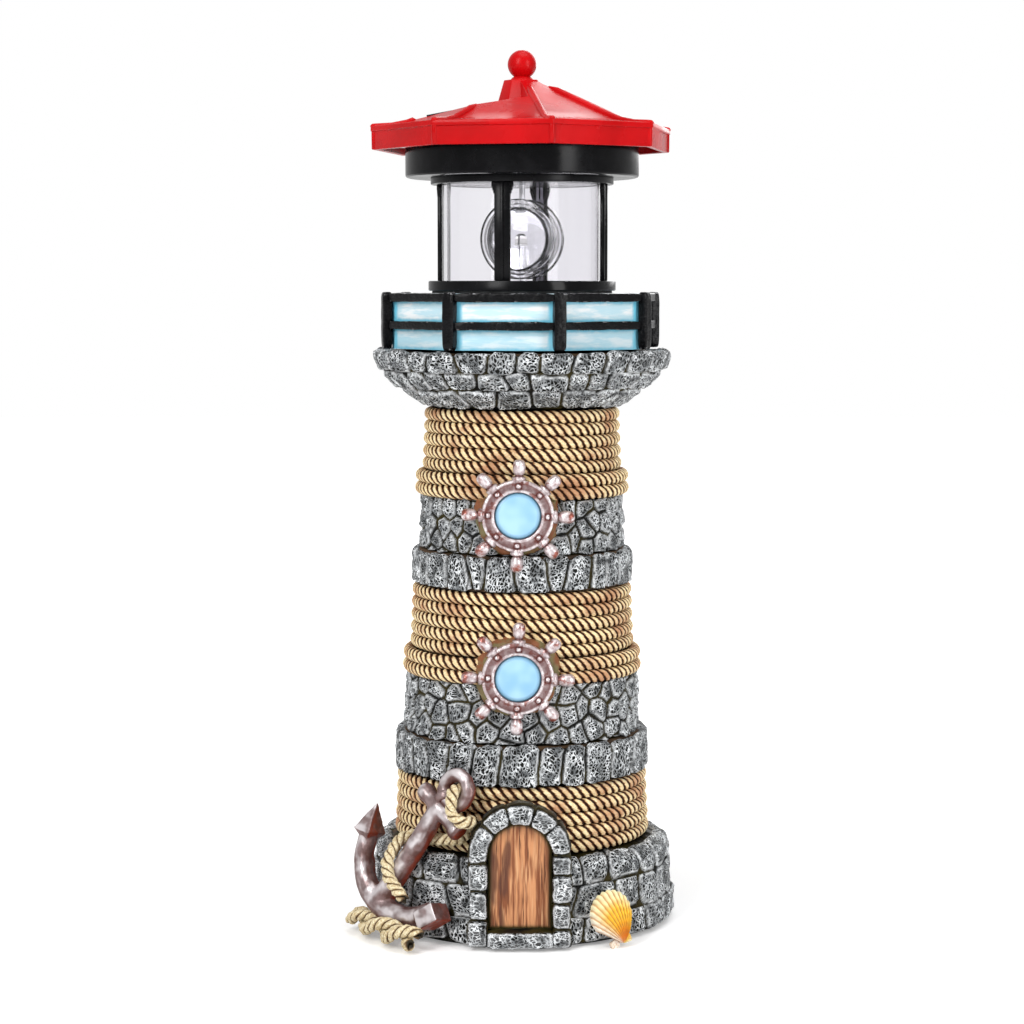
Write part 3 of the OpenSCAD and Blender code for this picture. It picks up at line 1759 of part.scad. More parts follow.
module soffit_screws() {
    color("silver")
        for (i = [0:7])
            rotate([0, 0, roof_turn - 90 + 22.5 + 45 * i])
                translate([boss_at_r, 0, soffit_z - 0.01])
                    mirror([0, 0, 1])
                        screw(soffit_t + 3);
}

foot_pad();
tower_casting();
rope_wrap_upper();
rope_wrap_middle();
rope_wrap_lower();
door_panel();
door_surround();
porthole_wheel_upper();
porthole_wheel_lower();
porthole_lens_upper();
porthole_lens_lower();
anchor();
anchor_shackle();
anchor_rope();
ground_rope();
scallop_shell();
gallery_drum();
gallery_railing();
seating_gasket();
base_housing();
base_ring();
housing_screws();
battery();
battery_contact();
battery_spring();
battery_cover();
cover_pin();
switch_body();
switch_knob();
clear_cylinder();
lantern_columns();
top_ring();
led_post();
beacon_led();
column_leads();
lens_front();
lens_rear();
lens_band();
lens_spindle();
spindle_gear();
idler_gear();
idler_post();
drive_pinion();
motor_shaft();
motor();
drive_plate();
drive_screws();
collar_housing();
circuit_board();
soffit_plate();
soffit_screws();
roof();
finial_ball();
solar_frame();
solar_cell();
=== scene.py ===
import itertools
import math

import bmesh
import bpy
import numpy as np
from mathutils import Matrix, Vector, kdtree


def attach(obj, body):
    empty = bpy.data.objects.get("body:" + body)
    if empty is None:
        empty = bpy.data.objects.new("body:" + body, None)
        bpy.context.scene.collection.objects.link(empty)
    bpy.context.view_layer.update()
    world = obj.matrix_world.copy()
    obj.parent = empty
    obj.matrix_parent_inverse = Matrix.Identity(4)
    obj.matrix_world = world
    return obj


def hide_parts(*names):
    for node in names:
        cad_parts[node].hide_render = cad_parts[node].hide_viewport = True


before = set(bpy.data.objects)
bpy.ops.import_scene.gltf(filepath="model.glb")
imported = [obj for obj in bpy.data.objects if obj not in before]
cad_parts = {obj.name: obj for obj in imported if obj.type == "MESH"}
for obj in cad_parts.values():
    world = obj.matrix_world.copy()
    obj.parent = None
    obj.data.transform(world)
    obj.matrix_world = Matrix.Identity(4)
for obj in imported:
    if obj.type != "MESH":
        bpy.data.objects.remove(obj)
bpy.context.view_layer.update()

# ------------------------------------------------------------------ camera, light and floor
# A long lens, a little over a metre away and looking slightly down. Two large soft boxes and
# a dim world light the ornament evenly, and it stands on a plain white floor.
camera_place, camera_tilt, focal_length = (-0.00416, -1.0388, 0.2631), math.radians(84.857), 87.89
lens = bpy.data.cameras.new("camera")
lens.sensor_width = 36
lens.lens = focal_length
lens.clip_start = 0.01
camera = bpy.data.objects.new("camera", lens)
camera.location = camera_place
camera.rotation_euler = (camera_tilt, 0, 0)
bpy.context.collection.objects.link(camera)
bpy.context.scene.camera = camera
bpy.context.scene.view_settings.view_transform = "Standard"


def soft_box(name, place, aim, size, power):
    """An area lamp at a place, turned to shine on a point."""
    lamp = bpy.data.lights.new(name, "AREA")
    lamp.shape = "RECTANGLE"
    lamp.size, lamp.size_y = size
    lamp.energy = power
    holder = bpy.data.objects.new(name, lamp)
    holder.location = place
    holder.rotation_euler = (Vector(aim) - Vector(place)).to_track_quat("-Z", "Y").to_euler()
    bpy.context.collection.objects.link(holder)


soft_box("key_light", (-0.75, -1.15, 0.95), (0, 0, 0.18), (0.5, 1.1), 17)
soft_box("fill_light", (0.95, -0.95, 0.45), (0, 0, 0.18), (0.35, 1.1), 9)
soft_box("top_light", (0.1, -0.1, 1.4), (0, 0, 0.2), (0.9, 0.9), 6.5)
soft_box("back_light", (0.5, 1.3, 0.8), (0, 0, 0.2), (1.2, 0.9), 9)


def add_node(tree, kind, inputs=None, **settings):
    """A shader node with its settings, and with a value or another node's socket on its inputs."""
    new = tree.nodes.new("ShaderNode" + kind)
    for key, value in settings.items():
        setattr(new, key, value)
    for key, value in (inputs or {}).items():
        if isinstance(value, bpy.types.NodeSocket):
            tree.links.new(value, new.inputs[key])
        else:
            new.inputs[key].default_value = value
    return new


def scaled(tree, value, by, op="MULTIPLY"):
    """A value times, plus, or otherwise joined with another."""
    return add_node(tree, "Math", {0: value, 1: by}, operation=op).outputs[0]


def seen_directly(tree):
    """1 for rays from the camera and through glass, half for what gloss shows, 0 for the rest."""
    path = add_node(tree, "LightPath").outputs
    gloss = scaled(tree, path["Is Glossy Ray"], 0.5)
    either = scaled(tree, path["Is Camera Ray"], gloss, "MAXIMUM")
    return scaled(tree, either, path["Is Transmission Ray"], "MAXIMUM")


world = bpy.context.scene.world or bpy.data.worlds.new("studio")
bpy.context.scene.world = world
world.use_nodes = True
sky = world.node_tree
backdrop = sky.nodes["Background"]
backdrop.inputs["Color"].default_value = (1, 1, 1, 1)
dim_sky, dim_floor = 0.32, 0.25
sky_strength = add_node(sky, "MapRange", {"Value": seen_directly(sky), "To Min": dim_sky, "To Max": 1.0})
sky.links.new(sky_strength.outputs[0], backdrop.inputs["Strength"])

mesh = bmesh.new()
bmesh.ops.create_grid(mesh, x_segments=1, y_segments=1, size=4)
floor_mesh = bpy.data.meshes.new("floor")
mesh.to_mesh(floor_mesh)
mesh.free()
floor = bpy.data.objects.new("floor", floor_mesh)
bpy.context.collection.objects.link(floor)
white = bpy.data.materials.new("white_floor")
white.use_nodes = True
tree = white.node_tree
shader = tree.nodes["Principled BSDF"]
for socket, value in (("Base Color", (0.9, 0.9, 0.9, 1)), ("Roughness", 0.9), ("Specular IOR Level", 0),
                      ("Emission Color", (1, 1, 1, 1))):
    shader.inputs[socket].default_value = value
away = add_node(tree, "VectorMath", {0: add_node(tree, "TexCoord").outputs["Object"]}, operation="LENGTH")
far = add_node(tree, "MapRange", {"Value": away.outputs["Value"], "From Min": 0.1, "From Max": 0.7,
                                  "To Min": dim_floor, "To Max": 1.0})
glow = scaled(tree, seen_directly(tree), far.outputs[0])
tree.links.new(glow, shader.inputs["Emission Strength"])
floor_mesh.materials.append(white)

# ------------------------------------------------------------------ tower core
# The hollow polyresin casting behind the stones and the rope: dark brown paint in the joints
# outside, bare grey resin inside. It is turned from one outline, a little behind the stones.
MM = 0.001
plinth_top, lower_lip, lower_band = 36.0, 62.7, 79.7
middle_wrap, upper_lip, upper_band = 104.1, 140.3, 155.4
upper_wrap, corbel, corbel_edge, deck = 178.1, 213.3, 234.4, 237.8


def settle(name, mesh, crease=None):
    """The mesh as an object, faces outward and smooth, with edges sharp past an angle in degrees."""
    bmesh.ops.recalc_face_normals(mesh, faces=mesh.faces)
    data = bpy.data.meshes.new(name)
    mesh.to_mesh(data)
    mesh.free()
    data.shade_smooth()
    if crease is not None:
        data.set_sharp_from_angle(angle=math.radians(crease))
    piece = bpy.data.objects.new(name, data)
    bpy.context.collection.objects.link(piece)
    return piece


def spin_outline(mesh, outline, steps, closed, turn=0.0):
    """Turns (radius, height) points in millimetres round +Z, in an empty mesh."""
    across, aside = MM * math.cos(turn), MM * math.sin(turn)
    points = [mesh.verts.new((r * across, r * aside, z * MM)) for r, z in outline]
    pairs = list(zip(points, points[1:])) + ([(points[-1], points[0])] if closed else [])
    bmesh.ops.spin(mesh, geom=points + [mesh.edges.new(pair) for pair in pairs], cent=(0, 0, 0),
                   axis=(0, 0, 1), angle=2 * math.pi, steps=steps, use_merge=True)
    bmesh.ops.remove_doubles(mesh, verts=mesh.verts, dist=1e-6)


def turned(name, outline, steps=96, closed=True, crease=None, turn=0.0):
    """A ring or a solid turned round the tower's axis from (radius, height) points in millimetres."""
    mesh = bmesh.new()
    spin_outline(mesh, outline, steps, closed, turn)
    return settle(name, mesh, crease)


def new_finish(name, roughness, **constants):
    """A material, its node tree and its shader, with the shader's constant sockets set."""
    finish = bpy.data.materials.new(name)
    finish.use_nodes = True
    shader = finish.node_tree.nodes["Principled BSDF"]
    shader.inputs["Roughness"].default_value = roughness
    shader.inputs["Specular IOR Level"].default_value = 0.3
    for key, value in constants.items():
        shader.inputs[key.replace("_", " ")].default_value = value
    return finish, finish.node_tree, shader


def noise(tree, size, detail=2.0, rough=0.5, stretch=(1, 1, 1)):
    """Noise on Object coordinates, with lumps of a size in millimetres."""
    place = add_node(tree, "TexCoord").outputs["Object"]
    if stretch != (1, 1, 1):
        place = add_node(tree, "Mapping", {"Vector": place, "Scale": stretch}).outputs[0]
    return add_node(tree, "TexNoise", {"Vector": place, "Scale": 1000 / size, "Detail": detail,
                                       "Roughness": rough}).outputs["Fac"]


def between(tree, value, low, high, to_low=0.0, to_high=1.0, curve="SMOOTHSTEP"):
    """A value taken from one range to another, held at its ends."""
    return add_node(tree, "MapRange", {"Value": value, "From Min": low, "From Max": high,
                                       "To Min": to_low, "To Max": to_high},
                    interpolation_type=curve).outputs[0]


def blend_colours(tree, factor, a, b):
    """Colour a where the factor is 0 and colour b where it is 1."""
    mix = add_node(tree, "Mix", data_type="RGBA")
    for socket, value in ((mix.inputs[0], factor), (mix.inputs[6], a), (mix.inputs[7], b)):
        if isinstance(value, bpy.types.NodeSocket):
            tree.links.new(value, socket)
        else:
            socket.default_value = (*value, 1) if isinstance(value, tuple) else value
    return mix.outputs[2]


def mottled(tree, size, detail, dark, light, low=0.35, high=0.65):
    """Two colours in soft patches of a size in millimetres."""
    return blend_colours(tree, between(tree, noise(tree, size, detail), low, high), dark, light)


def paint(tree, shader, colour, height, depth):
    """Gives a shader its colour, and a bump of a depth in millimetres from a height from 0 to 1."""
    tree.links.new(colour, shader.inputs["Base Color"])
    bump = add_node(tree, "Bump", {"Height": height, "Distance": depth * MM, "Strength": 1.0})
    tree.links.new(bump.outputs[0], shader.inputs["Normal"])


def marked(tree, name):
    """A value that the mesh carries at its points."""
    return add_node(tree, "Attribute", attribute_name=name).outputs["Fac"]


def fit(piece, finish, body, slot, *nodes):
    """The piece gets its finish, rides on its body and stands for its CAD nodes."""
    piece.data.materials.clear()
    piece.data.materials.append(finish)
    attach(piece, body)
    if nodes:
        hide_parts(*nodes)


def dress(finish, *names):
    """Puts a finish on CAD nodes."""
    for name in names:
        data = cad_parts[name].data
        data.materials.clear()
        data.materials.append(finish)


core_outside = [(57, 1), (57, 33), (50, 35.5), (48.3, plinth_top), (46.7, lower_lip), (49, 64), (49, 79),
                (45.5, 80), (44.4, 104), (42.2, 104.2), (40.5, 140.2), (43, 141), (43, 155), (40, 155.6),
                (39, 178), (36.8, 178.2), (35.2, 213.2), (37, 216), (46, 228), (54, 234), (54, 236.8)]
core_inside = [(33, 236.8), (33, 232.8), (42, 232.8), (42, 228.8), (31.9, corbel), (31.9, upper_wrap),
               (37.1, upper_lip), (37.1, middle_wrap), (43.2, lower_lip), (43.2, 38), (52, 28), (52, 6),
               (0.01, 6)]
tower_core = turned("tower_core", [(0.01, 1)] + core_outside + core_inside, 144, closed=False, crease=30)

resin, tree, shader = new_finish("resin_core", 0.75)
browns = mottled(tree, 9, 4, (0.045, 0.026, 0.014), (0.11, 0.062, 0.03))
paint(tree, shader, browns, noise(tree, 1.4, 3), 0.25)
fit(tower_core, resin, "tower", "resin_stone", "tower_casting")

foam, tree, shader = new_finish("foot_foam", 0.95)
place = add_node(tree, "TexCoord").outputs["Object"]
cells = add_node(tree, "TexVoronoi", {"Vector": place, "Scale": 1400.0}).outputs["Distance"]
bubbles = blend_colours(tree, between(tree, cells, 0.1, 0.6), (0.02, 0.02, 0.02), (0.07, 0.07, 0.068))
paint(tree, shader, bubbles, cells, 0.2)
dress(foam, "foot_pad")

# ------------------------------------------------------------------ stonework
# Cast and painted stone: charcoal grey, pitted all over, with white paint dragged over the rims
# and ridges and dark olive in the joints. Each ring is turned, then its face is pushed in and out.


def grain(places, size, seed):
    """Smooth noise from 0 to 1 at each place, with lumps of a size in metres."""
    spot = places / size + seed * 17.31
    cell = np.floor(spot)
    part = spot - cell
    part = part * part * (3 - 2 * part)
    total = np.zeros(len(places))
    for corner in itertools.product((0, 1), repeat=3):
        mixed = np.sin((cell + corner) @ np.array([127.1, 311.7, 74.7])) * 43758.5453
        weight = np.prod(np.where(corner, part, 1 - part), axis=1)
        total += (mixed - np.floor(mixed)) * weight
    return total


def ease(value):
    """Smooth step from 0 to 1."""
    value = np.clip(value, 0, 1)
    return value * value * (3 - 2 * value)


def points_of(piece):
    """The mesh's points as an array."""
    places = np.empty(len(piece.data.vertices) * 3)
    piece.data.vertices.foreach_get("co", places)
    return places.reshape(-1, 3)


def normals_of(piece):
    """The mesh's point normals as an array."""
    directions = np.empty(len(piece.data.vertices) * 3)
    piece.data.vertex_normals.foreach_get("vector", directions)
    return directions.reshape(-1, 3)


def move_points(piece, places):
    """Puts the mesh's points at new places."""
    piece.data.vertices.foreach_set("co", places.ravel())
    piece.data.update()


def mark(piece, name, values):
    """Keeps a value at each point for the material to read."""
    piece.data.attributes.new(name, "FLOAT", "POINT").data.foreach_set("value", np.ascontiguousarray(values))


def fine_outline(outline, step=0.5):
    """The outline with a point about every step, in millimetres."""
    dense = []
    for (r0, z0), (r1, z1) in zip(outline, outline[1:]):
        count = max(1, round(math.hypot(r1 - r0, z1 - z0) / step))
        dense += [(r0 + (r1 - r0) * i / count, z0 + (z1 - z0) * i / count) for i in range(count)]
    return dense + [outline[-1]]


def block_distance(places, along, rows, width, rng, lean=0.10):
    """Distance to the nearest joint of coursed blocks, and a number from 0 to 1 for each block.

    along is how far up the face each point lies, rows are the joints' heights on it, in metres."""
    heading = np.arctan2(places[:, 1], places[:, 0])
    radius = np.hypot(places[:, 0], places[:, 1])
    along = along + (grain(places, 0.011, 3) - 0.5) * 0.0022
    nearest = np.full(len(places), 1.0)
    number = np.zeros(len(places))
    corner = 0.0026
    for low, high in zip(rows, rows[1:]):
        inside = (along >= low) | (low == rows[0])
        inside &= (along < high) | (high == rows[-1])
        count = max(6, round(2 * math.pi * radius[inside].mean() / width))
        shares = rng.uniform(0.7, 1.35, count)
        joints = np.concatenate([[0], np.cumsum(shares)]) / shares.sum() * 2 * math.pi
        sway = (grain(places[inside], 0.006, 5) - 0.5) * 0.0012 / radius[inside]
        turn = (heading[inside] + rng.uniform(0, 6.28) + sway) % (2 * math.pi)
        slant = rng.uniform(-lean, lean, count + 1)
        slant[-1] = slant[0]
        middle = (low + high) / 2
        rise = (along[inside] - middle) / radius[inside]
        index = np.clip(np.searchsorted(joints, turn) - 1, 0, count - 1)
        left = (turn - joints[index] - slant[index] * rise * 3) * radius[inside]
        right = (joints[index + 1] + slant[index + 1] * rise * 3 - turn) * radius[inside]
        sideways = np.minimum(np.abs(left), np.abs(right))
        upright = np.maximum(np.minimum(along[inside] - low, high - along[inside]), 0)
        reach = np.hypot(np.maximum(corner - sideways, 0), np.maximum(corner - upright, 0))
        nearest[inside] = np.where(reach > 0, corner - reach, np.minimum(sideways, upright))
        number[inside] = rng.uniform(0, 1, count)[index]
    return np.maximum(nearest, 0), number


def rubble_distance(places, along, size, rng):
    """Distance to the nearest joint of irregular rubble, and a number from 0 to 1 for each stone."""
    radius = np.hypot(places[:, 0], places[:, 1]).mean()
    girth = 2 * math.pi * radius
    around = np.arctan2(places[:, 1], places[:, 0]) * radius
    warp = np.stack([grain(places, 0.007, 7), grain(places, 0.007, 8)], 1) - 0.5
    spots = np.stack([around, along], 1) + warp * 0.0024
    height = along.max() - along.min()
    rows = max(2, round(height / size))
    count = max(8, round(girth / size))
    seeds = []
    for row in range(-1, rows + 1):
        for column in range(count):
            shift = 0.5 * (row % 2)
            seeds.append(((column + shift + rng.uniform(-0.34, 0.34)) * girth / count - girth / 2,
                          along.min() + (row + 0.5 + rng.uniform(-0.34, 0.34)) * height / rows))
    seeds = np.array(seeds)
    shades = rng.uniform(0, 1, len(seeds))
    every = np.concatenate([seeds + (k * girth, 0) for k in (-1, 0, 1)])
    tree = kdtree.KDTree(len(every))
    for i, (x, y) in enumerate(every):
        tree.insert((x, y, 0), i)
    tree.balance()
    nearest = np.empty(len(spots))
    number = np.empty(len(spots))
    for i, (x, y) in enumerate(spots):
        found = tree.find_n((x, y, 0), 4)
        first = found[0][0]
        nearest[i] = min((other[2] ** 2 - found[0][2] ** 2) / (2 * (other[0] - first).length)
                         for other in found[1:])
        number[i] = shades[found[0][1] % len(seeds)]
    return nearest, number


def carve_stones(piece, near, distance, number, seed, edge=1.9, depth=1.7):
    """Pushes the outer face in at the joints, rounds each stone and dents it, and marks the paint."""
    places = points_of(piece)
    normals = normals_of(piece)
    dents = grain(places, 0.0034, seed) + 0.5 * grain(places, 0.0017, seed + 1)
    push = -depth * (1 - ease(distance / (edge * MM))) + (number - 0.5) * 0.8 + (dents - 0.75) * 0.9
    push = np.where(near, push - 0.35, 0) * MM
    move_points(piece, places + normals * push[:, None])
    mark(piece, "joint", np.where(near, ease((distance / MM - 0.42) / 0.42), 0))
    mark(piece, "rim", np.where(near, np.exp(-((distance / MM - 1.02) / 0.34) ** 2), 0))
    mark(piece, "shade", number)
    mark(piece, "dent", dents / 1.5)


stone, tree, shader = new_finish("painted_stone", 0.5, Specular_IOR_Level=0.1)
place = add_node(tree, "TexCoord").outputs["Object"]
sway = add_node(tree, "TexNoise", {"Vector": place, "Scale": 420.0, "Detail": 1.0}).outputs["Color"]
swayed = add_node(tree, "VectorMath", {0: sway, 1: (0.0022, 0.0022, 0.0022), 2: place},
                  operation="MULTIPLY_ADD")
slewed = add_node(tree, "VectorRotate", {"Vector": swayed.outputs[0], "Axis": (0.25, 1.0, 0.15),
                                         "Angle": scaled(tree, marked(tree, "shade"), 3.1)})
drawn = add_node(tree, "Mapping", {"Vector": slewed.outputs[0], "Scale": (1.0, 1.0, 0.52)}).outputs[0]
web = add_node(tree, "TexVoronoi", {"Vector": drawn, "Scale": 900.0},
               feature="DISTANCE_TO_EDGE").outputs["Distance"]
body = mottled(tree, 7, 3, (0.044, 0.049, 0.052), (0.145, 0.155, 0.164))
pits = between(tree, web, 0.13, 0.23)
pitted = blend_colours(tree, pits, body, (0.005, 0.005, 0.004))
ridges = between(tree, web, 0.16, 0.05)
patches = between(tree, noise(tree, 5.5, 3, 0.6), 0.36, 0.56, 0.18, 1.0)
raised = between(tree, marked(tree, "dent"), 0.3, 0.62, 0.40, 1.0)
dragged = scaled(tree, scaled(tree, ridges, patches), raised)
brushed = blend_colours(tree, dragged, pitted, (0.90, 0.93, 0.95))
rims = scaled(tree, marked(tree, "rim"), between(tree, noise(tree, 3.4, 2), 0.32, 0.56))
rimmed = blend_colours(tree, scaled(tree, rims, 0.92), brushed, (0.92, 0.94, 0.96))
olive = mottled(tree, 11, 2, (0.004, 0.004, 0.003), (0.036, 0.028, 0.007), 0.4, 0.62)
dabs = scaled(tree, between(tree, web, 0.24, 0.0), marked(tree, "joint"))
paint(tree, shader, blend_colours(tree, marked(tree, "joint"), olive, rimmed), dabs, 0.4)


def course_ring(name, outline, back, joints, width, seed, steps):
    """A ring of coursed blocks: joints are heights in millimetres, back is the radius behind them."""
    dense = fine_outline(outline)
    ring = turned(name, dense + [(back, outline[-1][1]), (back, outline[0][1])], steps)
    places = points_of(ring)
    reach = np.hypot(places[:, 0], places[:, 1]) / MM
    heights = [point[1] + i * 1e-4 for i, point in enumerate(outline)]
    lengths = np.concatenate([[0], np.cumsum([math.dist(a, b) for a, b in zip(outline, outline[1:])])]) * MM
    along = np.interp(places[:, 2] / MM, heights, lengths)
    flat = places[:, 2] / MM > outline[-1][1] - 0.05
    along = np.where(flat, lengths[-1] - (reach - outline[-1][0]) * MM, along)
    near = reach > back + 0.3
    rows = [float(np.interp(z, heights, lengths)) for z in joints]
    distance, number = block_distance(places, along, rows, width * MM, np.random.default_rng(seed))
    carve_stones(ring, near, distance, number, seed)
    return ring


plinth_outline = [(64, 1), (64.2, 12.6), (63, 13.6), (62.9, 25.5), (62.2, 26.4), (61.8, 30.6), (60.4, 33.6),
                  (57.6, 35.6), (54, 36.2)]
plinth_stones = course_ring("plinth_stones", plinth_outline, 50, [1, 12.9, 25.8, 36.2], 15, 11, 720)
# The plinth is cut back behind the door and its stones
door_middle, niche_half, niche_back = -1.0, 15.5, -0.0562
places = points_of(plinth_stones)
niche = ease((niche_half - np.abs(places[:, 0] / MM - door_middle)) / 1.5) * (places[:, 1] < 0)
places[:, 1] += niche * np.maximum(0, niche_back - places[:, 1])
move_points(plinth_stones, places)
lower_lip_outline = [(51.5, lower_lip), (53.2, 63.9), (53.4, 70), (53.1, 78.6), (52.0, lower_band),
                     (48.4, 80.3)]
lower_lip_stones = course_ring("lower_lip_stones", lower_lip_outline, 47, [lower_lip, lower_band + 0.8],
                               12, 12, 640)
upper_lip_outline = [(44.6, upper_lip), (46.1, 141.4), (46.3, 147), (46.0, 154.4), (45.0, upper_band),
                     (41.8, 156.0)]
upper_lip_stones = course_ring("upper_lip_stones", upper_lip_outline, 41, [upper_lip, upper_band + 0.8],
                               10.4, 13, 580)
corbel_outline = [(39.9, corbel), (41.2, 214.1), (46.2, 217.4), (50.6, 220.4), (51.4, 220.7), (55.6, 224.6),
                  (58.4, 227.6), (59.2, 228.0), (60.9, 231.6), (61.8, corbel_edge), (61.6, 236.6),
                  (60.2, 237.6), (56, deck)]
corbel_stones = course_ring("corbel_stones", corbel_outline, 36, [corbel, 220.6, 227.9, deck], 12.6, 14, 720)


def rubble_ring(name, outline, back, size, seed, steps):
    """A band of irregular rubble between two heights."""
    ring = turned(name, fine_outline(outline) + [(back, outline[-1][1]), (back, outline[0][1])], steps)
    places = points_of(ring)
    near = np.hypot(places[:, 0], places[:, 1]) / MM > back + 0.3
    distance, number = np.full(len(places), 0.001), np.zeros(len(places))
    distance[near], number[near] = rubble_distance(places[near], places[near, 2], size * MM,
                                                   np.random.default_rng(seed))
    carve_stones(ring, near, distance, number, seed)
    return ring


lower_rubble = rubble_ring("lower_rubble", [(49.7, lower_band), (48.5, middle_wrap)], 46, 9.0, 21, 600)
upper_rubble = rubble_ring("upper_rubble", [(43.4, upper_band), (42.3, upper_wrap)], 40, 8.2, 22, 540)
for ring in (plinth_stones, lower_lip_stones, upper_lip_stones, corbel_stones, lower_rubble, upper_rubble):
    fit(ring, stone, "tower", "resin_stone", "tower_casting")

# ------------------------------------------------------------------ rope wraps
# Three-strand rope cast round the tower in three bands: straw yellow where it stands proud, dark
# brown in the grooves and as painted shade in the valleys between turns, with red-brown washes. Each strand
# is one round curve, laid round the rope.


def wrap_line(top, height, outer, thick, turns, bulge, per_turn=96):
    """The centre line of a wrap in millimetres, as in the CAD source: level in front, climbing behind."""
    climb, taper, tail_round = 90.0, 0.045, 3.2
    end = turns * 360 - climb
    angles = np.linspace(0, end, round(end / 360 * per_turn) + 1)
    loops = np.floor(angles / 360)
    climbed = np.minimum(turns - 1, loops + ease(((angles - loops * 360) - (360 - climb)) / climb))
    z = top - thick / 2 - climbed * (height - thick) / (turns - 1)
    reach = outer - thick / 2 + (top - z) * taper + bulge * ease(climbed - (turns - 3))
    heading = np.radians(90 + climb / 2 + angles)
    line = np.stack([reach * np.cos(heading), reach * np.sin(heading), z], 1)
    tails = []
    for tip, along in ((line[0], line[0] - line[1]), (line[-1], line[-1] - line[-2])):
        out = along / np.linalg.norm(along)
        inward = np.array([-tip[0], -tip[1], 0]) / np.hypot(tip[0], tip[1])
        tails.append([tip + (out * math.sin(t) + inward * (1 - math.cos(t))) * tail_round
                      for t in np.radians([15, 30, 45, 60, 75, 90])])
        tails[-1].append(tip + out * tail_round + inward * (tail_round + thick))
    return np.concatenate([np.array(tails[0][::-1]), line, np.array(tails[1])])


def round_curve(name, radius, sides):
    """An empty curve that gives round tubes of a radius in metres."""
    curve = bpy.data.curves.new(name, "CURVE")
    curve.dimensions = "3D"
    curve.bevel_depth = radius
    curve.bevel_resolution = sides
    curve.use_fill_caps = True
    return curve


def curve_mesh(curve):
    """The curve's tubes as mesh data; the curve is removed."""
    holder = bpy.data.objects.new(curve.name, curve)
    data = bpy.data.meshes.new_from_object(holder)
    bpy.data.objects.remove(holder)
    bpy.data.curves.remove(curve)
    return data


def shown(name, data):
    """Smooth mesh data as an object in the scene."""
    data.name = name
    data.materials.clear()
    data.shade_smooth()
    piece = bpy.data.objects.new(name, data)
    bpy.context.collection.objects.link(piece)
    return piece


def outward(spine):
    """Away from the tower's axis."""
    away = spine.copy()
    away[:, 2] = 0
    return away


def lay_strands(name, line, thick, guide, lay_ratio=1.95, per_lay=11, hand=1):
    """Three strands twisted round a line, as one mesh, marked with how proud each point stands. Round the
    tower the mark is also lowered on the sides facing the next turn, which paints shade into the valleys
    between turns.

    guide gives the direction at each place of the line that the twist is counted from."""
    strand_r, lay, widest = thick * 0.25, thick * lay_ratio, thick / 2 * MM
    steps = np.concatenate([[0], np.cumsum(np.linalg.norm(np.diff(line, axis=0), axis=1))])
    count = int(steps[-1] / lay * per_lay) + 1
    travel = np.linspace(0, steps[-1], count)
    spine = np.stack([np.interp(travel, steps, line[:, i]) for i in range(3)], 1)
    along = np.gradient(spine, axis=0)
    along /= np.linalg.norm(along, axis=1)[:, None]
    out = guide(spine)
    out -= along * np.sum(out * along, 1)[:, None]
    out /= np.linalg.norm(out, axis=1)[:, None]
    side = np.cross(along, out)
    curve = round_curve(name, strand_r * MM, 2)
    taper = np.clip(np.minimum(np.arange(count), np.arange(count)[::-1]) / 5 + 0.35, 0, 1)
    for strand in range(3):
        phase = (hand * 2 * math.pi * travel / lay + strand * 2 * math.pi / 3)[:, None]
        path = (spine + (out * np.cos(phase) + side * np.sin(phase)) * strand_r) * MM
        spline = curve.splines.new("POLY")
        spline.points.add(count - 1)
        spline.points.foreach_set("co", np.concatenate([path, np.ones((count, 1))], 1).ravel())
        spline.points.foreach_set("radius", taper)
    piece = shown(name, curve_mesh(curve))
    middle = kdtree.KDTree(count)
    for i, spot in enumerate(spine * MM):
        middle.insert(spot, i)
    middle.balance()
    places = points_of(piece)
    found = [middle.find(spot) for spot in places]
    depth = np.array([spot[2] for spot in found]) / widest
    # Round the tower, the sides facing the next turn are marked lower: painted shade in the valleys between
    # turns.
    if guide is outward:
        nearest = np.array([spot[1] for spot in found])
        facing = np.sum((places - spine[nearest] * MM) * out[nearest], 1) / widest
        depth -= 0.07 * (1 - np.clip(facing / 0.8, 0, 1))
    mark(piece, "proud", depth)
    return piece


straw, tree, shader = new_finish("straw_rope", 0.62, Specular_IOR_Level=0.15)
strands = noise(tree, 1.1, 3, 0.6, (1, 1, 2.5))
sunny = blend_colours(tree, between(tree, strands, 0.35, 0.65), (0.82, 0.60, 0.30), (0.96, 0.84, 0.54))
wash = between(tree, noise(tree, 16, 3, 0.6), 0.46, 0.68, 0, 0.85)
washed = blend_colours(tree, wash, sunny, (0.50, 0.23, 0.12))
proud = scaled(tree, marked(tree, "proud"), scaled(tree, noise(tree, 3, 2), 0.14), "ADD")
# Low marks turn brown and then dark: the wash in the grooves, and painted shade in the valleys between turns
# round the tower.
browned = blend_colours(tree, between(tree, proud, 0.928, 1.005), (0.30, 0.125, 0.05), washed)
grooved = blend_colours(tree, between(tree, proud, 0.882, 0.95), (0.032, 0.011, 0.006), browned)
paint(tree, shader, grooved, strands, 0.25)

laid_full = 1.19
for name, top, height, outer, thick, turns, bulge in (
        ("rope_upper", corbel, 35.2, 40.1, 4.6, 7, 2.6),
        ("rope_middle", upper_lip, 36.2, 45.4, 4.6, 7, 2.6),
        ("rope_lower", lower_lip, 26.7, 51.8, 4.9, 5, 0)):
    rope = lay_strands(name, wrap_line(top, height, outer, thick, turns, bulge), thick * laid_full, outward)
    fit(rope, straw, "tower", "rope_paint", name.replace("rope_", "rope_wrap_"))

# ------------------------------------------------------------------ door
# An arched door of upright boards, orange-brown with dark grain and knots, set back between the
# stones. It is cast with the tower; here it is one thick board carved with grooves and grain.
door_foot, door_spring, door_half = 8.0, 38.1, 12.8


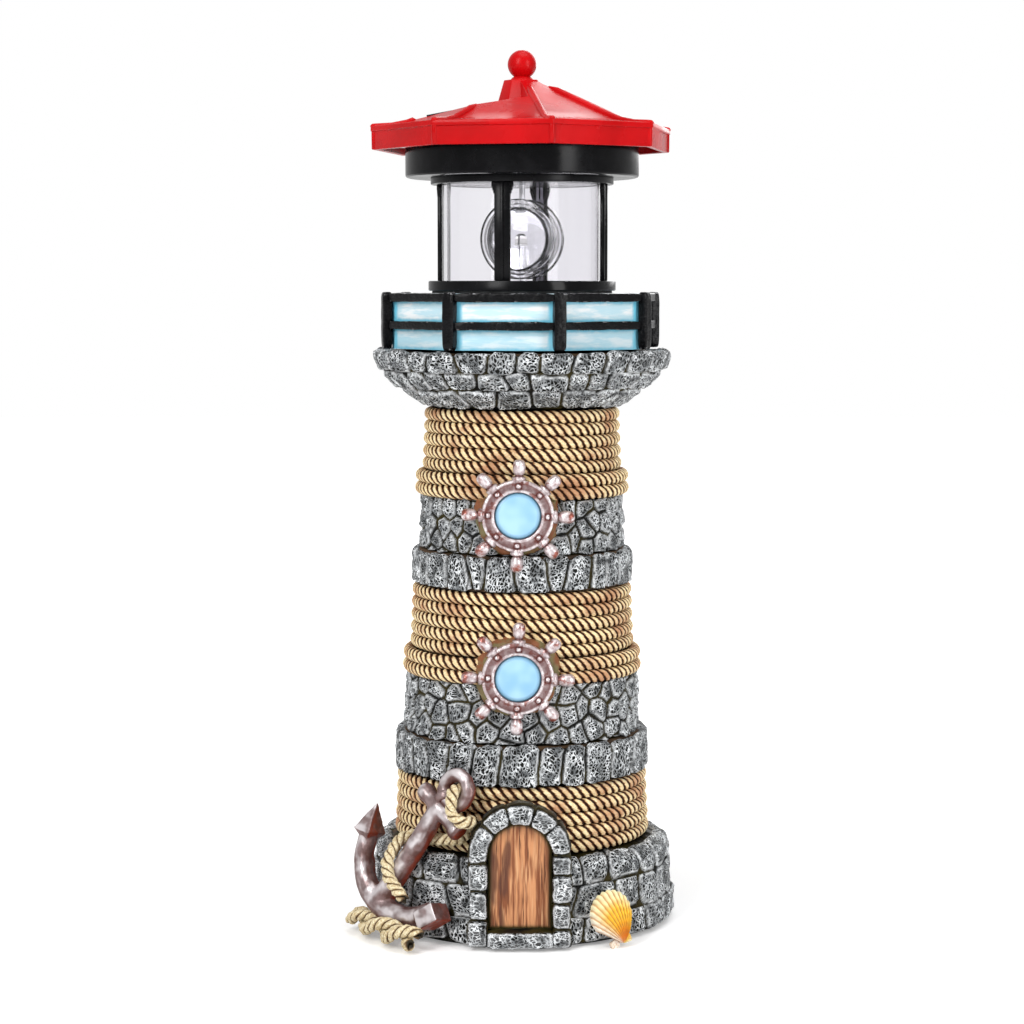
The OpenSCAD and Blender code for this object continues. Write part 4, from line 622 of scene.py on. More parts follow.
def thicken(mesh, shift):
    """Gives an open sheet a back at a shift from its front."""
    grown = bmesh.ops.extrude_face_region(mesh, geom=mesh.faces[:])["geom"]
    bmesh.ops.translate(mesh, vec=shift, verts=[v for v in grown if isinstance(v, bmesh.types.BMVert)])
    bmesh.ops.recalc_face_normals(mesh, faces=mesh.faces)


door_face, door_thick, board_width = -0.0606, 0.0034, 5.12
mesh = bmesh.new()
bmesh.ops.create_grid(mesh, x_segments=96, y_segments=150, size=0.5)
for point in mesh.verts:
    u, v = point.co.x * 2, point.co.y + 0.5
    x = u * door_half * 0.9999
    top = door_spring + math.sqrt(door_half ** 2 - x ** 2)
    point.co = ((door_middle + x) * MM, door_face, (door_foot + v * (top - door_foot)) * MM)
thicken(mesh, (0, door_thick, 0))
door = settle("door_boards", mesh, 40)
places = points_of(door)
front = places[:, 1] < door_face + door_thick / 3
x, z = places[:, 0] / MM - door_middle, places[:, 2] / MM
board = (x + door_half) % board_width
seam = np.minimum(board, board_width - board)
streaks = grain(places * (1, 1, 0.07), 0.0011, 31) + 0.6 * grain(places * (1, 1, 0.1), 0.0005, 32)
wander = grain(places * (1, 1, 0.35), 0.004, 33)
edge = np.minimum(door_half - np.abs(x), z - door_foot)
edge = np.where(z > door_spring, np.minimum(edge, door_half - np.hypot(x, z - door_spring)), edge)
cut = 0.30 * np.exp(-(seam / 0.35) ** 2) + 0.32 * (streaks - 0.8) + 0.5 * (1 - ease(edge / 1.2))
places[:, 1] += np.where(front, cut * MM, 0)
move_points(door, places)
mark(door, "border", ease(edge / 2.4))
seams = 0.35 * np.exp(-(seam / 0.3) ** 2)
mark(door, "streak", np.clip(streaks / 1.6 + 0.25 * (wander - 0.5) - seams, 0, 1))
wood, tree, shader = new_finish("painted_boards", 0.5)
fibres = noise(tree, 1.3, 3, 0.6, (1, 1, 0.055))
streaked = between(tree, marked(tree, "streak"), 0.3, 0.66)
warm = blend_colours(tree, streaked, (0.24, 0.078, 0.030), (0.62, 0.28, 0.125))
pale = blend_colours(tree, between(tree, fibres, 0.54, 0.72), warm, (0.68, 0.36, 0.18))
dark = blend_colours(tree, between(tree, fibres, 0.32, 0.46), (0.075, 0.022, 0.010), pale)
knots = between(tree, noise(tree, 7, 2, 0.5, (1, 1, 0.3)), 0.58, 0.68, 0, 0.8)
knotted = blend_colours(tree, knots, dark, (0.10, 0.035, 0.02))
paint(tree, shader, blend_colours(tree, marked(tree, "border"), (0.035, 0.036, 0.010), knotted), fibres, 0.3)
fit(door, wood, "tower", "door_paint", "door_panel")

# ------------------------------------------------------------------ stones round the door
# Separate rough blocks: three on each side, five in the arch and a sill, cast with the tower and
# painted as the walls are. Each is a finely cut cube, rounded, bent to its place and dented.
arch_inner, arch_outer, stones_front = 12.9, 20.6, 65.3


def rough_block(mesh, shape, cuts=15):
    """A rounded block whose points from -1 to 1 are sent to their place in millimetres by shape."""
    start, power = len(mesh.verts), 7.0
    bmesh.ops.create_cube(mesh, size=2)
    mesh.verts.ensure_lookup_table()
    edges = {edge for point in mesh.verts[start:] for edge in point.link_edges}
    bmesh.ops.subdivide_edges(mesh, edges=list(edges), cuts=cuts, use_grid_fill=True)
    mesh.verts.ensure_lookup_table()
    for point in mesh.verts[start:]:
        reach = max(abs(c) for c in point.co)
        length = sum(abs(c) ** power for c in point.co) ** (1 / power)
        point.co = Vector(shape(*(c * reach / length for c in point.co))) * MM


def back_of(x):
    """Where the stones' backs lie, against the tower's round."""
    return -math.sqrt(max(1.0, 52.6 ** 2 - x ** 2))


def upright_stone(left, right, low, high, proud):
    """A block between two sides and two heights, standing proud of the others by a little."""
    def shape(u, v, w):
        x = left + (right - left) * (u + 1) / 2
        near = -stones_front - proud
        return x, near + (back_of(x) - near) * (v + 1) / 2, low + (high - low) * (w + 1) / 2
    return shape


def arch_stone(start, end, proud):
    """A wedge of the arch between two angles in degrees."""
    def shape(u, v, w):
        angle = math.radians(start + (end - start) * (u + 1) / 2)
        radius = arch_inner + (arch_outer - arch_inner) * (w + 1) / 2
        x = door_middle + radius * math.cos(angle)
        near = -stones_front - proud
        return x, near + (back_of(x) - near) * (v + 1) / 2, door_spring + radius * math.sin(angle)
    return shape


mesh = bmesh.new()
rng = np.random.default_rng(41)
left_joints, right_joints = (1.0, 12.4, 24.0, 35.2), (1.0, 8.6, 19.0, 30.4, 38.4)
for joints, side in ((left_joints, -1), (right_joints, 1)):
    for low, high in zip(joints, joints[1:]):
        near = door_middle + side * arch_inner
        far = door_middle + side * (arch_outer + rng.uniform(-0.6, 0.4))
        rough_block(mesh, upright_stone(min(near, far), max(near, far), low + 0.25, high - 0.25,
                                        rng.uniform(-0.5, 0.5)))
arch_joints = (2, 41, 72, 106, 140, 190)
for start, end in zip(arch_joints, arch_joints[1:]):
    rough_block(mesh, arch_stone(start + 0.8, end - 0.8, rng.uniform(-0.6, 0.5)))
rough_block(mesh, upright_stone(door_middle - 13.6, door_middle + 13.4, 1.0, door_foot, 1.9), 23)
door_stones = settle("door_stones", mesh)
places = points_of(door_stones)
normals = normals_of(door_stones)
dents = grain(places, 0.0034, 43) + 0.5 * grain(places, 0.0017, 44)
move_points(door_stones, places + normals * ((dents - 0.75) * 0.8 * MM)[:, None])
# Faces turned from the front take the dark joint colour: joint paint between the blocks, and painted shade on
# the sides facing into the doorway.
facing = -normals[:, 1]
mark(door_stones, "joint", np.where(facing > 0, ease((facing - 0.12) / 0.35), 0.15))
mark(door_stones, "rim", np.where(facing > 0, np.exp(-((facing - 0.80) / 0.13) ** 2), 0))
mark(door_stones, "shade", np.full(len(places), 0.5))
mark(door_stones, "dent", dents / 1.5)
fit(door_stones, stone, "tower", "resin_stone", "door_surround")

# The dark bed that the stones lie in, behind their joints
mesh = bmesh.new()
bmesh.ops.create_grid(mesh, x_segments=48, y_segments=24, size=1)
for point in mesh.verts:
    u, v = point.co.x, (point.co.y + 1) / 2
    angle = math.radians(90 - 100 * u)
    radius = arch_inner + 0.6 + (arch_outer - arch_inner - 1.4) * v
    x, z = radius * math.cos(angle), radius * math.sin(angle)
    point.co = ((door_middle + x) * MM, -0.0632, (door_spring + z) * MM)
thicken(mesh, (0, 0.0105, 0))
for side in (-1, 1):
    start = len(mesh.verts)
    bmesh.ops.create_cube(mesh, size=1)
    mesh.verts.ensure_lookup_table()
    place = (Matrix.Translation(((door_middle + side * 16.7) * MM, -0.0582, 0.0196))
             @ Matrix.Diagonal((0.0062, 0.0100, 0.0368, 1)))
    bmesh.ops.transform(mesh, matrix=place, verts=mesh.verts[start:])
bmesh.ops.bevel(mesh, geom=[edge for edge in mesh.edges if edge.calc_face_angle(0) > 1.2], offset=0.0004,
                segments=2, profile=0.5, affect="EDGES", material=-1)
door_bed = settle("door_bed", mesh, 40)
mortar, tree, shader = new_finish("dark_mortar", 0.8)
grit = noise(tree, 1.6, 4)
dirty = blend_colours(tree, between(tree, grit, 0.35, 0.62), (0.009, 0.009, 0.006), (0.055, 0.045, 0.017))
paint(tree, shader, dirty, grit, 0.3)
fit(door_bed, mortar, "tower", "resin_stone", "door_surround")

# ------------------------------------------------------------------ portholes
# Two ship's wheels, each a riveted ring with eight turned handles round a pale blue disc, cast on
# a lump of brown clay-like resin. Silvery pink paint, with a red-brown wash in every hollow.
port_x, wheel_turn, rivet_circle, rivet_seat = -1.8, math.radians(-1.5), 11.95, 3.6
eighth = math.pi / 4


def moved(x, y, z):
    """A matrix that moves by three lengths in metres."""
    return Matrix.Translation((x, y, z))


def rotated(angle, axis):
    """A matrix that turns by an angle in radians round an axis."""
    return Matrix.Rotation(angle, 4, axis)


def join(mesh, part, place):
    """Adds a finished part to a mesh, placed by a matrix."""
    bmesh.ops.transform(part, matrix=place, verts=part.verts[:])
    data = bpy.data.meshes.new("part")
    part.to_mesh(data)
    part.free()
    mesh.from_mesh(data)
    bpy.data.meshes.remove(data)


def lathe(mesh, outline, place, steps=32, closed=False):
    """Adds a form turned round its own +Z from (radius, height) points in millimetres, then placed."""
    part = bmesh.new()
    spin_outline(part, outline, steps, closed)
    join(mesh, part, place)


def box(mesh, size, place, bevel=0.3, segments=2):
    """Adds a box of a size in millimetres with rounded edges, placed by a matrix."""
    part = bmesh.new()
    bmesh.ops.create_cube(part, size=1, matrix=Matrix.Diagonal([length * MM for length in size] + [1]))
    bmesh.ops.bevel(part, geom=part.edges[:], offset=bevel * MM, segments=segments, profile=0.5,
                    affect="EDGES", material=-1)
    join(mesh, part, place)


def dented(piece, size, depth, seed, marked_as="dent"):
    """Pushes the surface in and out by smooth noise, in millimetres, and marks it."""
    places = points_of(piece)
    lumps = grain(places, size * MM, seed) + 0.5 * grain(places, size * 0.5 * MM, seed + 1)
    move_points(piece, places + normals_of(piece) * ((lumps - 0.75) * depth * MM)[:, None])
    mark(piece, marked_as, lumps / 1.5)


ring_outline = [(8.2, 0), (8.2, 1.0), (9.30, 1.2), (9.35, 3.2), (9.7, 3.75), (10.3, 3.85), (10.8, 3.6),
                (13.1, 3.6), (13.6, 3.85), (14.15, 3.75), (14.5, 3.3), (14.55, 0.6), (14.2, 0)]
handle_outline = [(0.01, 13.2), (2.0, 13.2), (2.05, 14.2), (2.6, 14.5), (2.75, 15.1), (2.6, 15.7),
                  (1.7, 15.95), (1.6, 16.3), (2.0, 16.8), (2.4, 17.8), (2.55, 19.2), (2.5, 20.6),
                  (2.25, 21.6), (1.6, 22.3), (0.8, 22.6), (0.01, 22.65)]
disc_outline = [(0.01, 1.25), (9.3, 1.25), (9.3, 2.3), (8.6, 2.75), (7.4, 3.0), (4.5, 3.25), (0.01, 3.35)]
rivet_outline = [(0.01, 0.75), (0.5, 0.68), (0.9, 0.4), (1.1, 0), (1.1, -0.3), (0.01, -0.3)]
wheel_paint, tree, shader = new_finish("wheel_paint", 0.3, Metallic=0.55)
blotches = noise(tree, 3.4, 4, 0.62)
silvery = mottled(tree, 1.6, 3, (0.48, 0.39, 0.40), (0.84, 0.79, 0.80), 0.35, 0.7)
washed = blend_colours(tree, between(tree, blotches, 0.52, 0.64, 0, 0.85), silvery, (0.24, 0.07, 0.05))
rusted = scaled(tree, marked(tree, "tip"), between(tree, blotches, 0.42, 0.6))
tipped = blend_colours(tree, rusted, washed, (0.24, 0.065, 0.045))
hollowed = blend_colours(tree, marked(tree, "hollow"), tipped, (0.11, 0.03, 0.025))
paint(tree, shader, hollowed, noise(tree, 1.3, 3), 0.18)

clay, tree, shader = new_finish("brown_seat", 0.6)
earthy = mottled(tree, 6, 3, (0.24, 0.085, 0.035), (0.20, 0.17, 0.075), 0.4, 0.62)
paint(tree, shader, earthy, noise(tree, 2.2, 3), 0.5)

blue, tree, shader = new_finish("blue_disc", 0.22)
sky_blue = mottled(tree, 9, 1, (0.26, 0.50, 0.74), (0.40, 0.65, 0.84), 0.3, 0.7)
# The disc's outer edge, under the ring, is painted darker blue: a painted shadow of the ring.
ringed = blend_colours(tree, marked(tree, "edge"), sky_blue, (0.13, 0.30, 0.42))
paint(tree, shader, ringed, noise(tree, 5, 1), 0.05)

for level, height, back, foot in (("upper", 172.2, 44.48, 36.0), ("lower", 107.5, 49.83, 42.0)):
    centre = moved(port_x * MM, -back * MM, height * MM) @ rotated(math.pi / 2, "X")
    mesh = bmesh.new()
    lathe(mesh, ring_outline, centre, 96, closed=True)
    for i in range(8):
        spoke = centre @ rotated(i * eighth + wheel_turn, "Z")
        lathe(mesh, handle_outline, spoke @ rotated(-math.pi / 2, "X") @ moved(0, -0.0026, 0), 24)
        lathe(mesh, rivet_outline, spoke @ moved(0, rivet_circle * MM, rivet_seat * MM), 16)
    wheel = settle("wheel_" + level, mesh, 60)
    across, above = np.split(points_of(wheel)[:, (0, 2)] / MM - (port_x, height), 2, axis=1)
    reach, turn = np.hypot(across, above).ravel(), np.arctan2(above, across).ravel() - wheel_turn
    mark(wheel, "tip", ease((reach - 18.6) / 2.5))
    aside = np.hypot(reach - rivet_circle, reach * np.abs((turn + eighth / 2) % eighth - eighth / 2))
    hollows = sum(share * np.exp(-((far - middle) / width) ** 2) for far, middle, width, share in (
        (reach, 16.2, 0.6, 1), (reach, 9.2, 0.35, 1), (reach, 13.15, 0.3, 0.9), (aside, 1.35, 0.35, 1),
        (reach, 10.85, 0.25, 0.7)))
    mark(wheel, "hollow", np.clip(hollows, 0, 1))
    fit(wheel, wheel_paint, "tower", "wheel_paint", "porthole_wheel_" + level)
    mesh = bmesh.new()
    lathe(mesh, disc_outline, centre, 64)
    disc = settle("disc_" + level, mesh, 60)
    places = points_of(disc)
    # Marks the disc's outer edge for the painted shadow of the ring.
    mark(disc, "edge", ease((np.hypot(places[:, 0] / MM - port_x, places[:, 2] / MM - height) - 7.6) / 1.7))
    fit(disc, blue, "tower", "blue_lens", "porthole_lens_" + level)
    mesh = bmesh.new()
    rise = back - foot
    seat_outline = [(0.01, 0), (17.2, 0), (17.0, rise * 0.4), (15.8, rise * 0.8), (14.0, rise - 0.3),
                    (0.01, rise - 0.2)]
    lathe(mesh, fine_outline(seat_outline, 1.0), moved(0, rise * MM, 0) @ centre, 80)
    seat = settle("seat_" + level, mesh)
    dented(seat, 4.5, 2.2, 51)
    places = points_of(seat)
    places[:, 1] = np.maximum(places[:, 1], -(back - 0.15) * MM)
    if level == "upper":
        places[:, 2] = np.minimum(places[:, 2], 0.1775 + 0.003 * (places[:, 1] > -0.041))
    move_points(seat, places)
    fit(seat, clay, "tower", "resin_stone", "tower_casting")

# ------------------------------------------------------------------ anchor
# A cast anchor that leans on the plinth: thick round limbs with a spade on the left arm and a
# chunky palm on the right one. The limbs are run together by a fine voxel mesh and then dented.
anchor_place = (moved(-0.0583, -0.0413, 0.014) @ rotated(math.radians(-45), "Z")
                @ rotated(math.radians(29.5), "Y") @ rotated(math.radians(76), "X"))
arm_bend, short_arm, shank_length = 26.6, 0.88, 54


def limb_mesh(name, lines, sides=6):
    """Round tubes through (x, y, z, radius) points in millimetres, as one mesh."""
    curve = round_curve(name, MM, sides)
    for line in lines:
        spline = curve.splines.new("POLY")
        spline.points.add(len(line) - 1)
        for point, (x, y, z, r) in zip(spline.points, line):
            point.co = (x * MM, y * MM, z * MM, 1)
            point.radius = r
    data = curve_mesh(curve)
    mesh = bmesh.new()
    mesh.from_mesh(data)
    bpy.data.meshes.remove(data)
    return mesh


def voxelled(name, mesh, voxel, rounds):
    """The overlapping forms of a mesh run together into one skin, and smoothed."""
    rough = settle(name + "_rough", mesh)
    melt = rough.modifiers.new("melt", "REMESH")
    melt.mode = "VOXEL"
    melt.voxel_size = voxel * MM
    soften = rough.modifiers.new("soften", "SMOOTH")
    soften.iterations = rounds
    soften.factor = 0.5
    data = bpy.data.meshes.new_from_object(rough.evaluated_get(bpy.context.evaluated_depsgraph_get()))
    loose = rough.data
    bpy.data.objects.remove(rough)
    bpy.data.meshes.remove(loose)
    return shown(name, data)


arms = []
for degrees in range(-80, 67, 4):
    turn = math.radians(degrees)
    reach = arm_bend * math.sin(turn) * (short_arm if degrees < 0 else 1.0)
    arms.append((reach, arm_bend * (1 - math.cos(turn)), 0, 4.9 - 1.1 * abs(degrees / 80)))
arms[0] = (*arms[0][:3], 2.0)
shank = [(0.9 * math.sin(y / shank_length * math.pi), y, 0, 4.75 - 0.9 * y / shank_length)
         for y in range(0, 51, 5)]
stock = [(x, 48.6 - 0.10 * x, 0, r) for x, r in (
    (-11.8, 1.6), (-11.4, 2.9), (-10.4, 3.6), (-8.8, 3.8), (-7.2, 3.6), (-5.8, 3.3), (0, 3.9), (5, 3.5),
    (9.5, 3.4), (11.2, 3.9), (13.0, 4.3), (14.6, 4.1), (15.6, 3.2), (16.0, 1.6))]
mesh = limb_mesh("anchor_limbs", [arms, shank, stock])
lathe(mesh, [(2.5, -1.7), (2.9, -2.0), (4.0, -1.5), (4.3, 0), (4.0, 1.5), (2.9, 2.0), (2.5, 1.7)],
      moved(0, shank_length * MM, 0) @ rotated(math.radians(-30), "Z") @ rotated(math.pi / 2, "Y"),
      32, closed=True)
# The spade: a four-sided point over a short skirt
spade_r = 0.00707
spade = moved(-0.0230, 0.0205, 0) @ rotated(math.radians(20), "Z")
for low, high, depth, middle in ((1.08, 0.05, 12.0, 4.6), (0.52, 1.08, 3.2, -3.0)):
    part = bmesh.new()
    bmesh.ops.create_cone(part, segments=4, radius1=low * spade_r, radius2=high * spade_r, depth=depth * MM,
                          cap_ends=True)
    join(mesh, part, spade @ moved(0, middle * MM, 0) @ rotated(-math.pi / 2, "X")
         @ Matrix.Diagonal((0.78, 1.08, 1, 1)) @ rotated(math.pi / 4, "Z"))
# The palm on the right arm, a rough block
box(mesh, (7.8, 10.4, 10.4), moved(0.0252, 0.0132, 0) @ rotated(math.radians(-28), "Z"))
bmesh.ops.transform(mesh, matrix=anchor_place, verts=mesh.verts[:])
anchor = voxelled("anchor_casting", mesh, 0.45, 4)
dented(anchor, 4.0, 0.5, 61)

mesh = bmesh.new()
ring_r, bar, ring_lean, ring_reach = 6.0, 2.9, math.radians(60), 5.9
lathe(mesh, [(ring_r + bar * math.cos(a) * (0.9 if math.cos(a) < 0 else 1.05), bar * math.sin(a))
             for a in np.linspace(0, 2 * math.pi, 28, endpoint=False)],
      anchor_place @ moved(ring_reach * math.cos(ring_lean) * MM,
                           (shank_length + ring_reach * math.sin(ring_lean)) * MM, 0), 72, closed=True)
shackle = settle("shackle_ring", mesh)
dented(shackle, 3.0, 0.6, 63)

# Mauve-brown paint. Red-orange rust with painted shade goes on the faces turned from the key light, and
# silver dry-brush paint as a painted highlight on the faces turned to it.
iron, tree, shader = new_finish("anchor_paint", 0.3, Metallic=0.35)
blotches = noise(tree, 5, 4, 0.6)
mauve = blend_colours(tree, between(tree, blotches, 0.38, 0.64), (0.115, 0.055, 0.048), (0.215, 0.135, 0.130))
rusted = scaled(tree, marked(tree, "under"), between(tree, noise(tree, 4, 3), 0.30, 0.52))
rust_and_shade_colour = blend_colours(tree, rusted, mauve, (0.26, 0.038, 0.014))
brushed = scaled(tree, marked(tree, "painted_highlight"), between(tree, noise(tree, 7, 2), 0.38, 0.62, 0.15, 1.0))
paint(tree, shader, blend_colours(tree, brushed, rust_and_shade_colour, (0.66, 0.61, 0.62)), noise(tree, 2.4, 3), 0.15)
# The key light's direction: faces turned to it get the painted highlight, and faces turned from it get the
# rust and painted shade.
key_light_way = np.array([-0.45, -0.72, 0.52])
for piece, node in ((anchor, "anchor"), (shackle, "anchor_shackle")):
    facing = normals_of(piece) @ key_light_way
    lumps = grain(points_of(piece), 0.004, 66)
    mark(piece, "painted_highlight", ease((facing + 0.35 * (lumps - 0.5) - 0.66) / 0.30))
    mark(piece, "under", ease((0.42 - facing + 0.5 * (lumps - 0.5)) / 0.55))
    fit(piece, iron, "tower", "anchor_paint", node)

# ------------------------------------------------------------------ rope on the anchor
# One rope runs through the shackle, behind the stock and round the shank; another lies heaped on
# the ground. Both are laid in three strands, cream over dark brown, and cast with the tower.
anchor_route = [
    (-23.4, -50.4, 62.3), (-25.9, -53.6, 63), (-27.6, -56.6, 62.7), (-28.2, -58.9, 60.3),
    (-28.3, -60, 55.3), (-26, -61.8, 52.4), (-22.8, -62.8, 51.2), (-20.6, -59.5, 51.4), (-20.9, -56, 49.8),
    (-22.3, -52.4, 47), (-23.4, -51.4, 44), (-27, -49, 41.8), (-32, -46, 41), (-37.8, -42, 40.8),
    (-43, -39.4, 41), (-47.8, -39.6, 40.5), (-51.6, -42, 37.5), (-54, -45.7, 33.5), (-54.3, -48.5, 29.4),
    (-53, -51, 25.5), (-50, -54.5, 22), (-46.5, -58, 19)
]
# The heap is the ground rope doubled: out, round a loop, and back twisted with itself
heap_steps, heap_start, heap_end = 15, np.array([-42.0, -70.0]), np.array([-66.0, -37.0])
heap_across = np.array([0.81, 0.58])
heap = []
for side, order in ((1, range(heap_steps)), (-1, reversed(range(heap_steps)))):
    for i in order:
        share = i / (heap_steps - 1)
        twist = share * 2.6 * math.pi + 0.4
        x, y = heap_start * (1 - share) + heap_end * share + heap_across * side * 3.0 * math.cos(twist)
        heap.append((x, y - 2.0 * math.sin(share * math.pi), 6.0 + side * 2.7 * math.sin(twist)))
heap[heap_steps:heap_steps] = [(-70.0, -32.5, 5.2), (-68.0, -29.5, 6.5), (-64.5, -31.5, 7.4)]


def smooth_line(points, per=8):
    """A smooth line through the points (Catmull-Rom)."""
    points = np.array(points, float)
    ends = np.concatenate([[2 * points[0] - points[1]], points, [2 * points[-1] - points[-2]]])
    line = []
    for a, b, c, d in zip(ends, ends[1:], ends[2:], ends[3:]):
        for t in np.arange(per) / per:
            line.append(0.5 * (2 * b + (c - a) * t + (2 * a - 5 * b + 4 * c - d) * t ** 2
                               + (3 * b - a - 3 * c + d) * t ** 3))
    return np.array(line + [points[-1]])


def carried(spine):
    """Directions square to a line, carried along it without twisting."""
    along = np.gradient(spine, axis=0)
    along /= np.linalg.norm(along, axis=1)[:, None]
    out = np.array([0.3, 0.2, 1.0])
    kept = []
    for step in along:
        out = out - step * out.dot(step)
        out = out / np.linalg.norm(out)
        kept.append(out)
    return np.array(kept)


cream, tree, shader = new_finish("cream_rope", 0.6)
strands = noise(tree, 0.9, 3, 0.6)
pale = blend_colours(tree, between(tree, strands, 0.35, 0.65), (0.56, 0.42, 0.22), (0.86, 0.77, 0.53))
proud = scaled(tree, marked(tree, "proud"), scaled(tree, noise(tree, 2.5, 2), 0.14), "ADD")
browned = blend_colours(tree, between(tree, proud, 0.80, 0.99), (0.17, 0.09, 0.035), pale)
grooved = blend_colours(tree, between(tree, proud, 0.68, 0.86), (0.022, 0.016, 0.007), browned)
paint(tree, shader, grooved, strands, 0.3)
fray, lowest = 0.0009, 0.0011
for name, route in (("anchor_rope", anchor_route), ("ground_rope", heap)):
    rope = lay_strands(name + "_strands", smooth_line(route), 5.2, carried, 2.0, 12, -1)
    places = points_of(rope)
    places += (np.stack([grain(places, 0.002, seed) for seed in (71, 72, 73)], 1) - 0.5) * fray
    places[:, 2] = np.maximum(places[:, 2], lowest)
    move_points(rope, places)
    fit(rope, cream, "tower", "rope_paint", name)

# ------------------------------------------------------------------ scallop shell
# A ribbed scallop leaning on the plinth, painted white at the rim and yellow to orange towards the
# hinge. It is one curved sheet with thirteen ribs and growth bands, and two small ears.
shell_place = (rotated(math.radians(31.2), "Z") @ moved(0.004, -0.0685, 0.0013)
               @ rotated(math.radians(83), "X") @ rotated(math.radians(18), "Z"))
half_fan, ribs, growth_bands, rim_r = 0.75, 13, 7.5, 22.5
mesh = bmesh.new()
bmesh.ops.create_grid(mesh, x_segments=156, y_segments=64, size=0.5)
for point in mesh.verts:
    u, v = point.co.x * 2, point.co.y + 0.5
    angle = u * half_fan
    rim = 0.92 * (14 * math.cos(angle) + math.sqrt(100 - 196 * math.sin(angle) ** 2))
    rib = math.cos(ribs * math.pi * u)
    grown = 0.05 + 0.95 * v
    reach = rim * grown * (1 + 0.022 * rib * v)
    bands = 0.16 * math.sin(2 * math.pi * (v * growth_bands + 0.08 * rib)) * v
    swell = 6.0 * math.sin(math.pi * min(1, grown ** 0.72)) ** 0.62 * (1 - 0.42 * u * u)
    point.co = (reach * math.sin(angle) * MM, reach * math.cos(angle) * MM,
                (1.35 + max(0.0, swell) * 0.86 + 0.5 * rib * min(1, v * 2.4) + bands) * MM)
thicken(mesh, (0, 0, -0.0013))
for side in (-1, 1):
    def ear(u, v, w, side=side):
        return side * 3.0 + u * 2.1, 0.9 + v * 1.7 - 0.25 * side * u, 1.2 + w * 0.8
    rough_block(mesh, ear, 9)
bmesh.ops.transform(mesh, matrix=shell_place, verts=mesh.verts[:])
shell = settle("shell_fan", mesh, 70)
local = (points_of(shell) - np.array(shell_place.translation)) @ np.array(shell_place.to_3x3())
rim_share = np.hypot(local[:, 0], local[:, 1]) / MM / rim_r
side_share = np.arctan2(local[:, 0], local[:, 1]) / half_fan
mark(shell, "grow", rim_share + 0.14 * side_share ** 2)
mark(shell, "side", side_share)
mark(shell, "groove", ease((-np.cos(ribs * math.pi * side_share) - 0.1) / 0.9))
mark(shell, "band", 0.5 - 0.5 * np.sin(2 * math.pi * growth_bands * rim_share))
pearl, tree, shader = new_finish("shell_paint", 0.45)
grow = scaled(tree, marked(tree, "grow"), scaled(tree, noise(tree, 5, 3), 0.22), "ADD")
warm = blend_colours(tree, between(tree, grow, 0.28, 0.62), (0.80, 0.24, 0.015), (0.94, 0.58, 0.05))
light = blend_colours(tree, between(tree, grow, 0.74, 1.04), warm, (0.93, 0.84, 0.50))
leftish = between(tree, scaled(tree, marked(tree, "side"), -1.0), 0.35, 1.0, 0, 0.85)
whitened = blend_colours(tree, leftish, light, (0.94, 0.92, 0.86))
shaded = blend_colours(tree, scaled(tree, marked(tree, "groove"), 0.7), whitened, (0.50, 0.20, 0.05))
ringed = blend_colours(tree, scaled(tree, marked(tree, "band"), 0.16), shaded, (0.35, 0.20, 0.10))
paint(tree, shader, ringed, noise(tree, 1.2, 3), 0.15)
fit(shell, pearl, "tower", "shell_paint", "scallop_shell")

# ------------------------------------------------------------------ gallery
# An eight-sided drum with pale blue panels, and round it a railing of square posts and two rails,
# glossy black with worn grey edges. The posts and rails are rough blocks with rounded edges.
gallery_turn = math.radians(14.7 - 90)


def octagonal(piece, turn):
    """Moves a turned form's points in, so that its circles become octagons with corners at a heading."""
    places = points_of(piece)
    off = (np.arctan2(places[:, 1], places[:, 0]) - turn) % eighth - eighth / 2
    places[:, :2] *= (math.cos(eighth / 2) / np.cos(off))[:, None]
    move_points(piece, places)


drum_outline = fine_outline([(54.9, 238.0), (54.9, 260.1), (54.4, 260.5), (35.9, 260.5)], 0.9)
drum = turned("drum_panels", drum_outline + [(35.9, 257), (50, 257), (50, 238.0)], 8 * 36, crease=30,
              turn=gallery_turn)
octagonal(drum, gallery_turn)
places = points_of(drum)
off = (np.arctan2(places[:, 1], places[:, 0]) - gallery_turn) % eighth - eighth / 2
panel_half, side_reach, wall_top = 18.0, 50.7, 260
across = panel_half - side_reach * np.abs(np.tan(off))
above = places[:, 2] / MM
panel = np.minimum.reduce([across] + [np.abs(above - edge) for edge in (257.2, 249.4, 246.0, 238.2)])
mark(drum, "border", np.where(above < wall_top, np.clip(1 - panel / 2.2, 0, 1), 0.25))
mark(drum, "low", ease((247.7 - above) / 4))
enamel, tree, shader = new_finish("panel_paint", 0.4)
strokes = noise(tree, 14, 4, 0.6, (1, 1, 6))
blues = blend_colours(tree, between(tree, strokes, 0.40, 0.64), (0.56, 0.79, 0.88), (0.90, 0.95, 0.97))
border = scaled(tree, marked(tree, "border"), scaled(tree, noise(tree, 3, 3), 0.5), "ADD")
edged = blend_colours(tree, between(tree, border, 0.60, 1.2), blues, (0.17, 0.60, 0.80))
deepened = blend_colours(tree, scaled(tree, marked(tree, "low"), 0.30), edged, (0.33, 0.66, 0.80))
paint(tree, shader, deepened, strokes, 0.15)
fit(drum, enamel, "tower", "gallery_paint", "gallery_drum")

worn, tree, shader = new_finish("worn_black", 0.24, Specular_IOR_Level=0.14)
chips = scaled(tree, marked(tree, "edge"), between(tree, noise(tree, 2.2, 5, 0.7), 0.55, 0.66))
blacks = mottled(tree, 5, 3, (0.001, 0.001, 0.0015), (0.004, 0.004, 0.005), 0.4, 0.7)
paint(tree, shader, blend_colours(tree, chips, blacks, (0.30, 0.30, 0.31)), noise(tree, 2.4, 4, 0.6), 0.35)



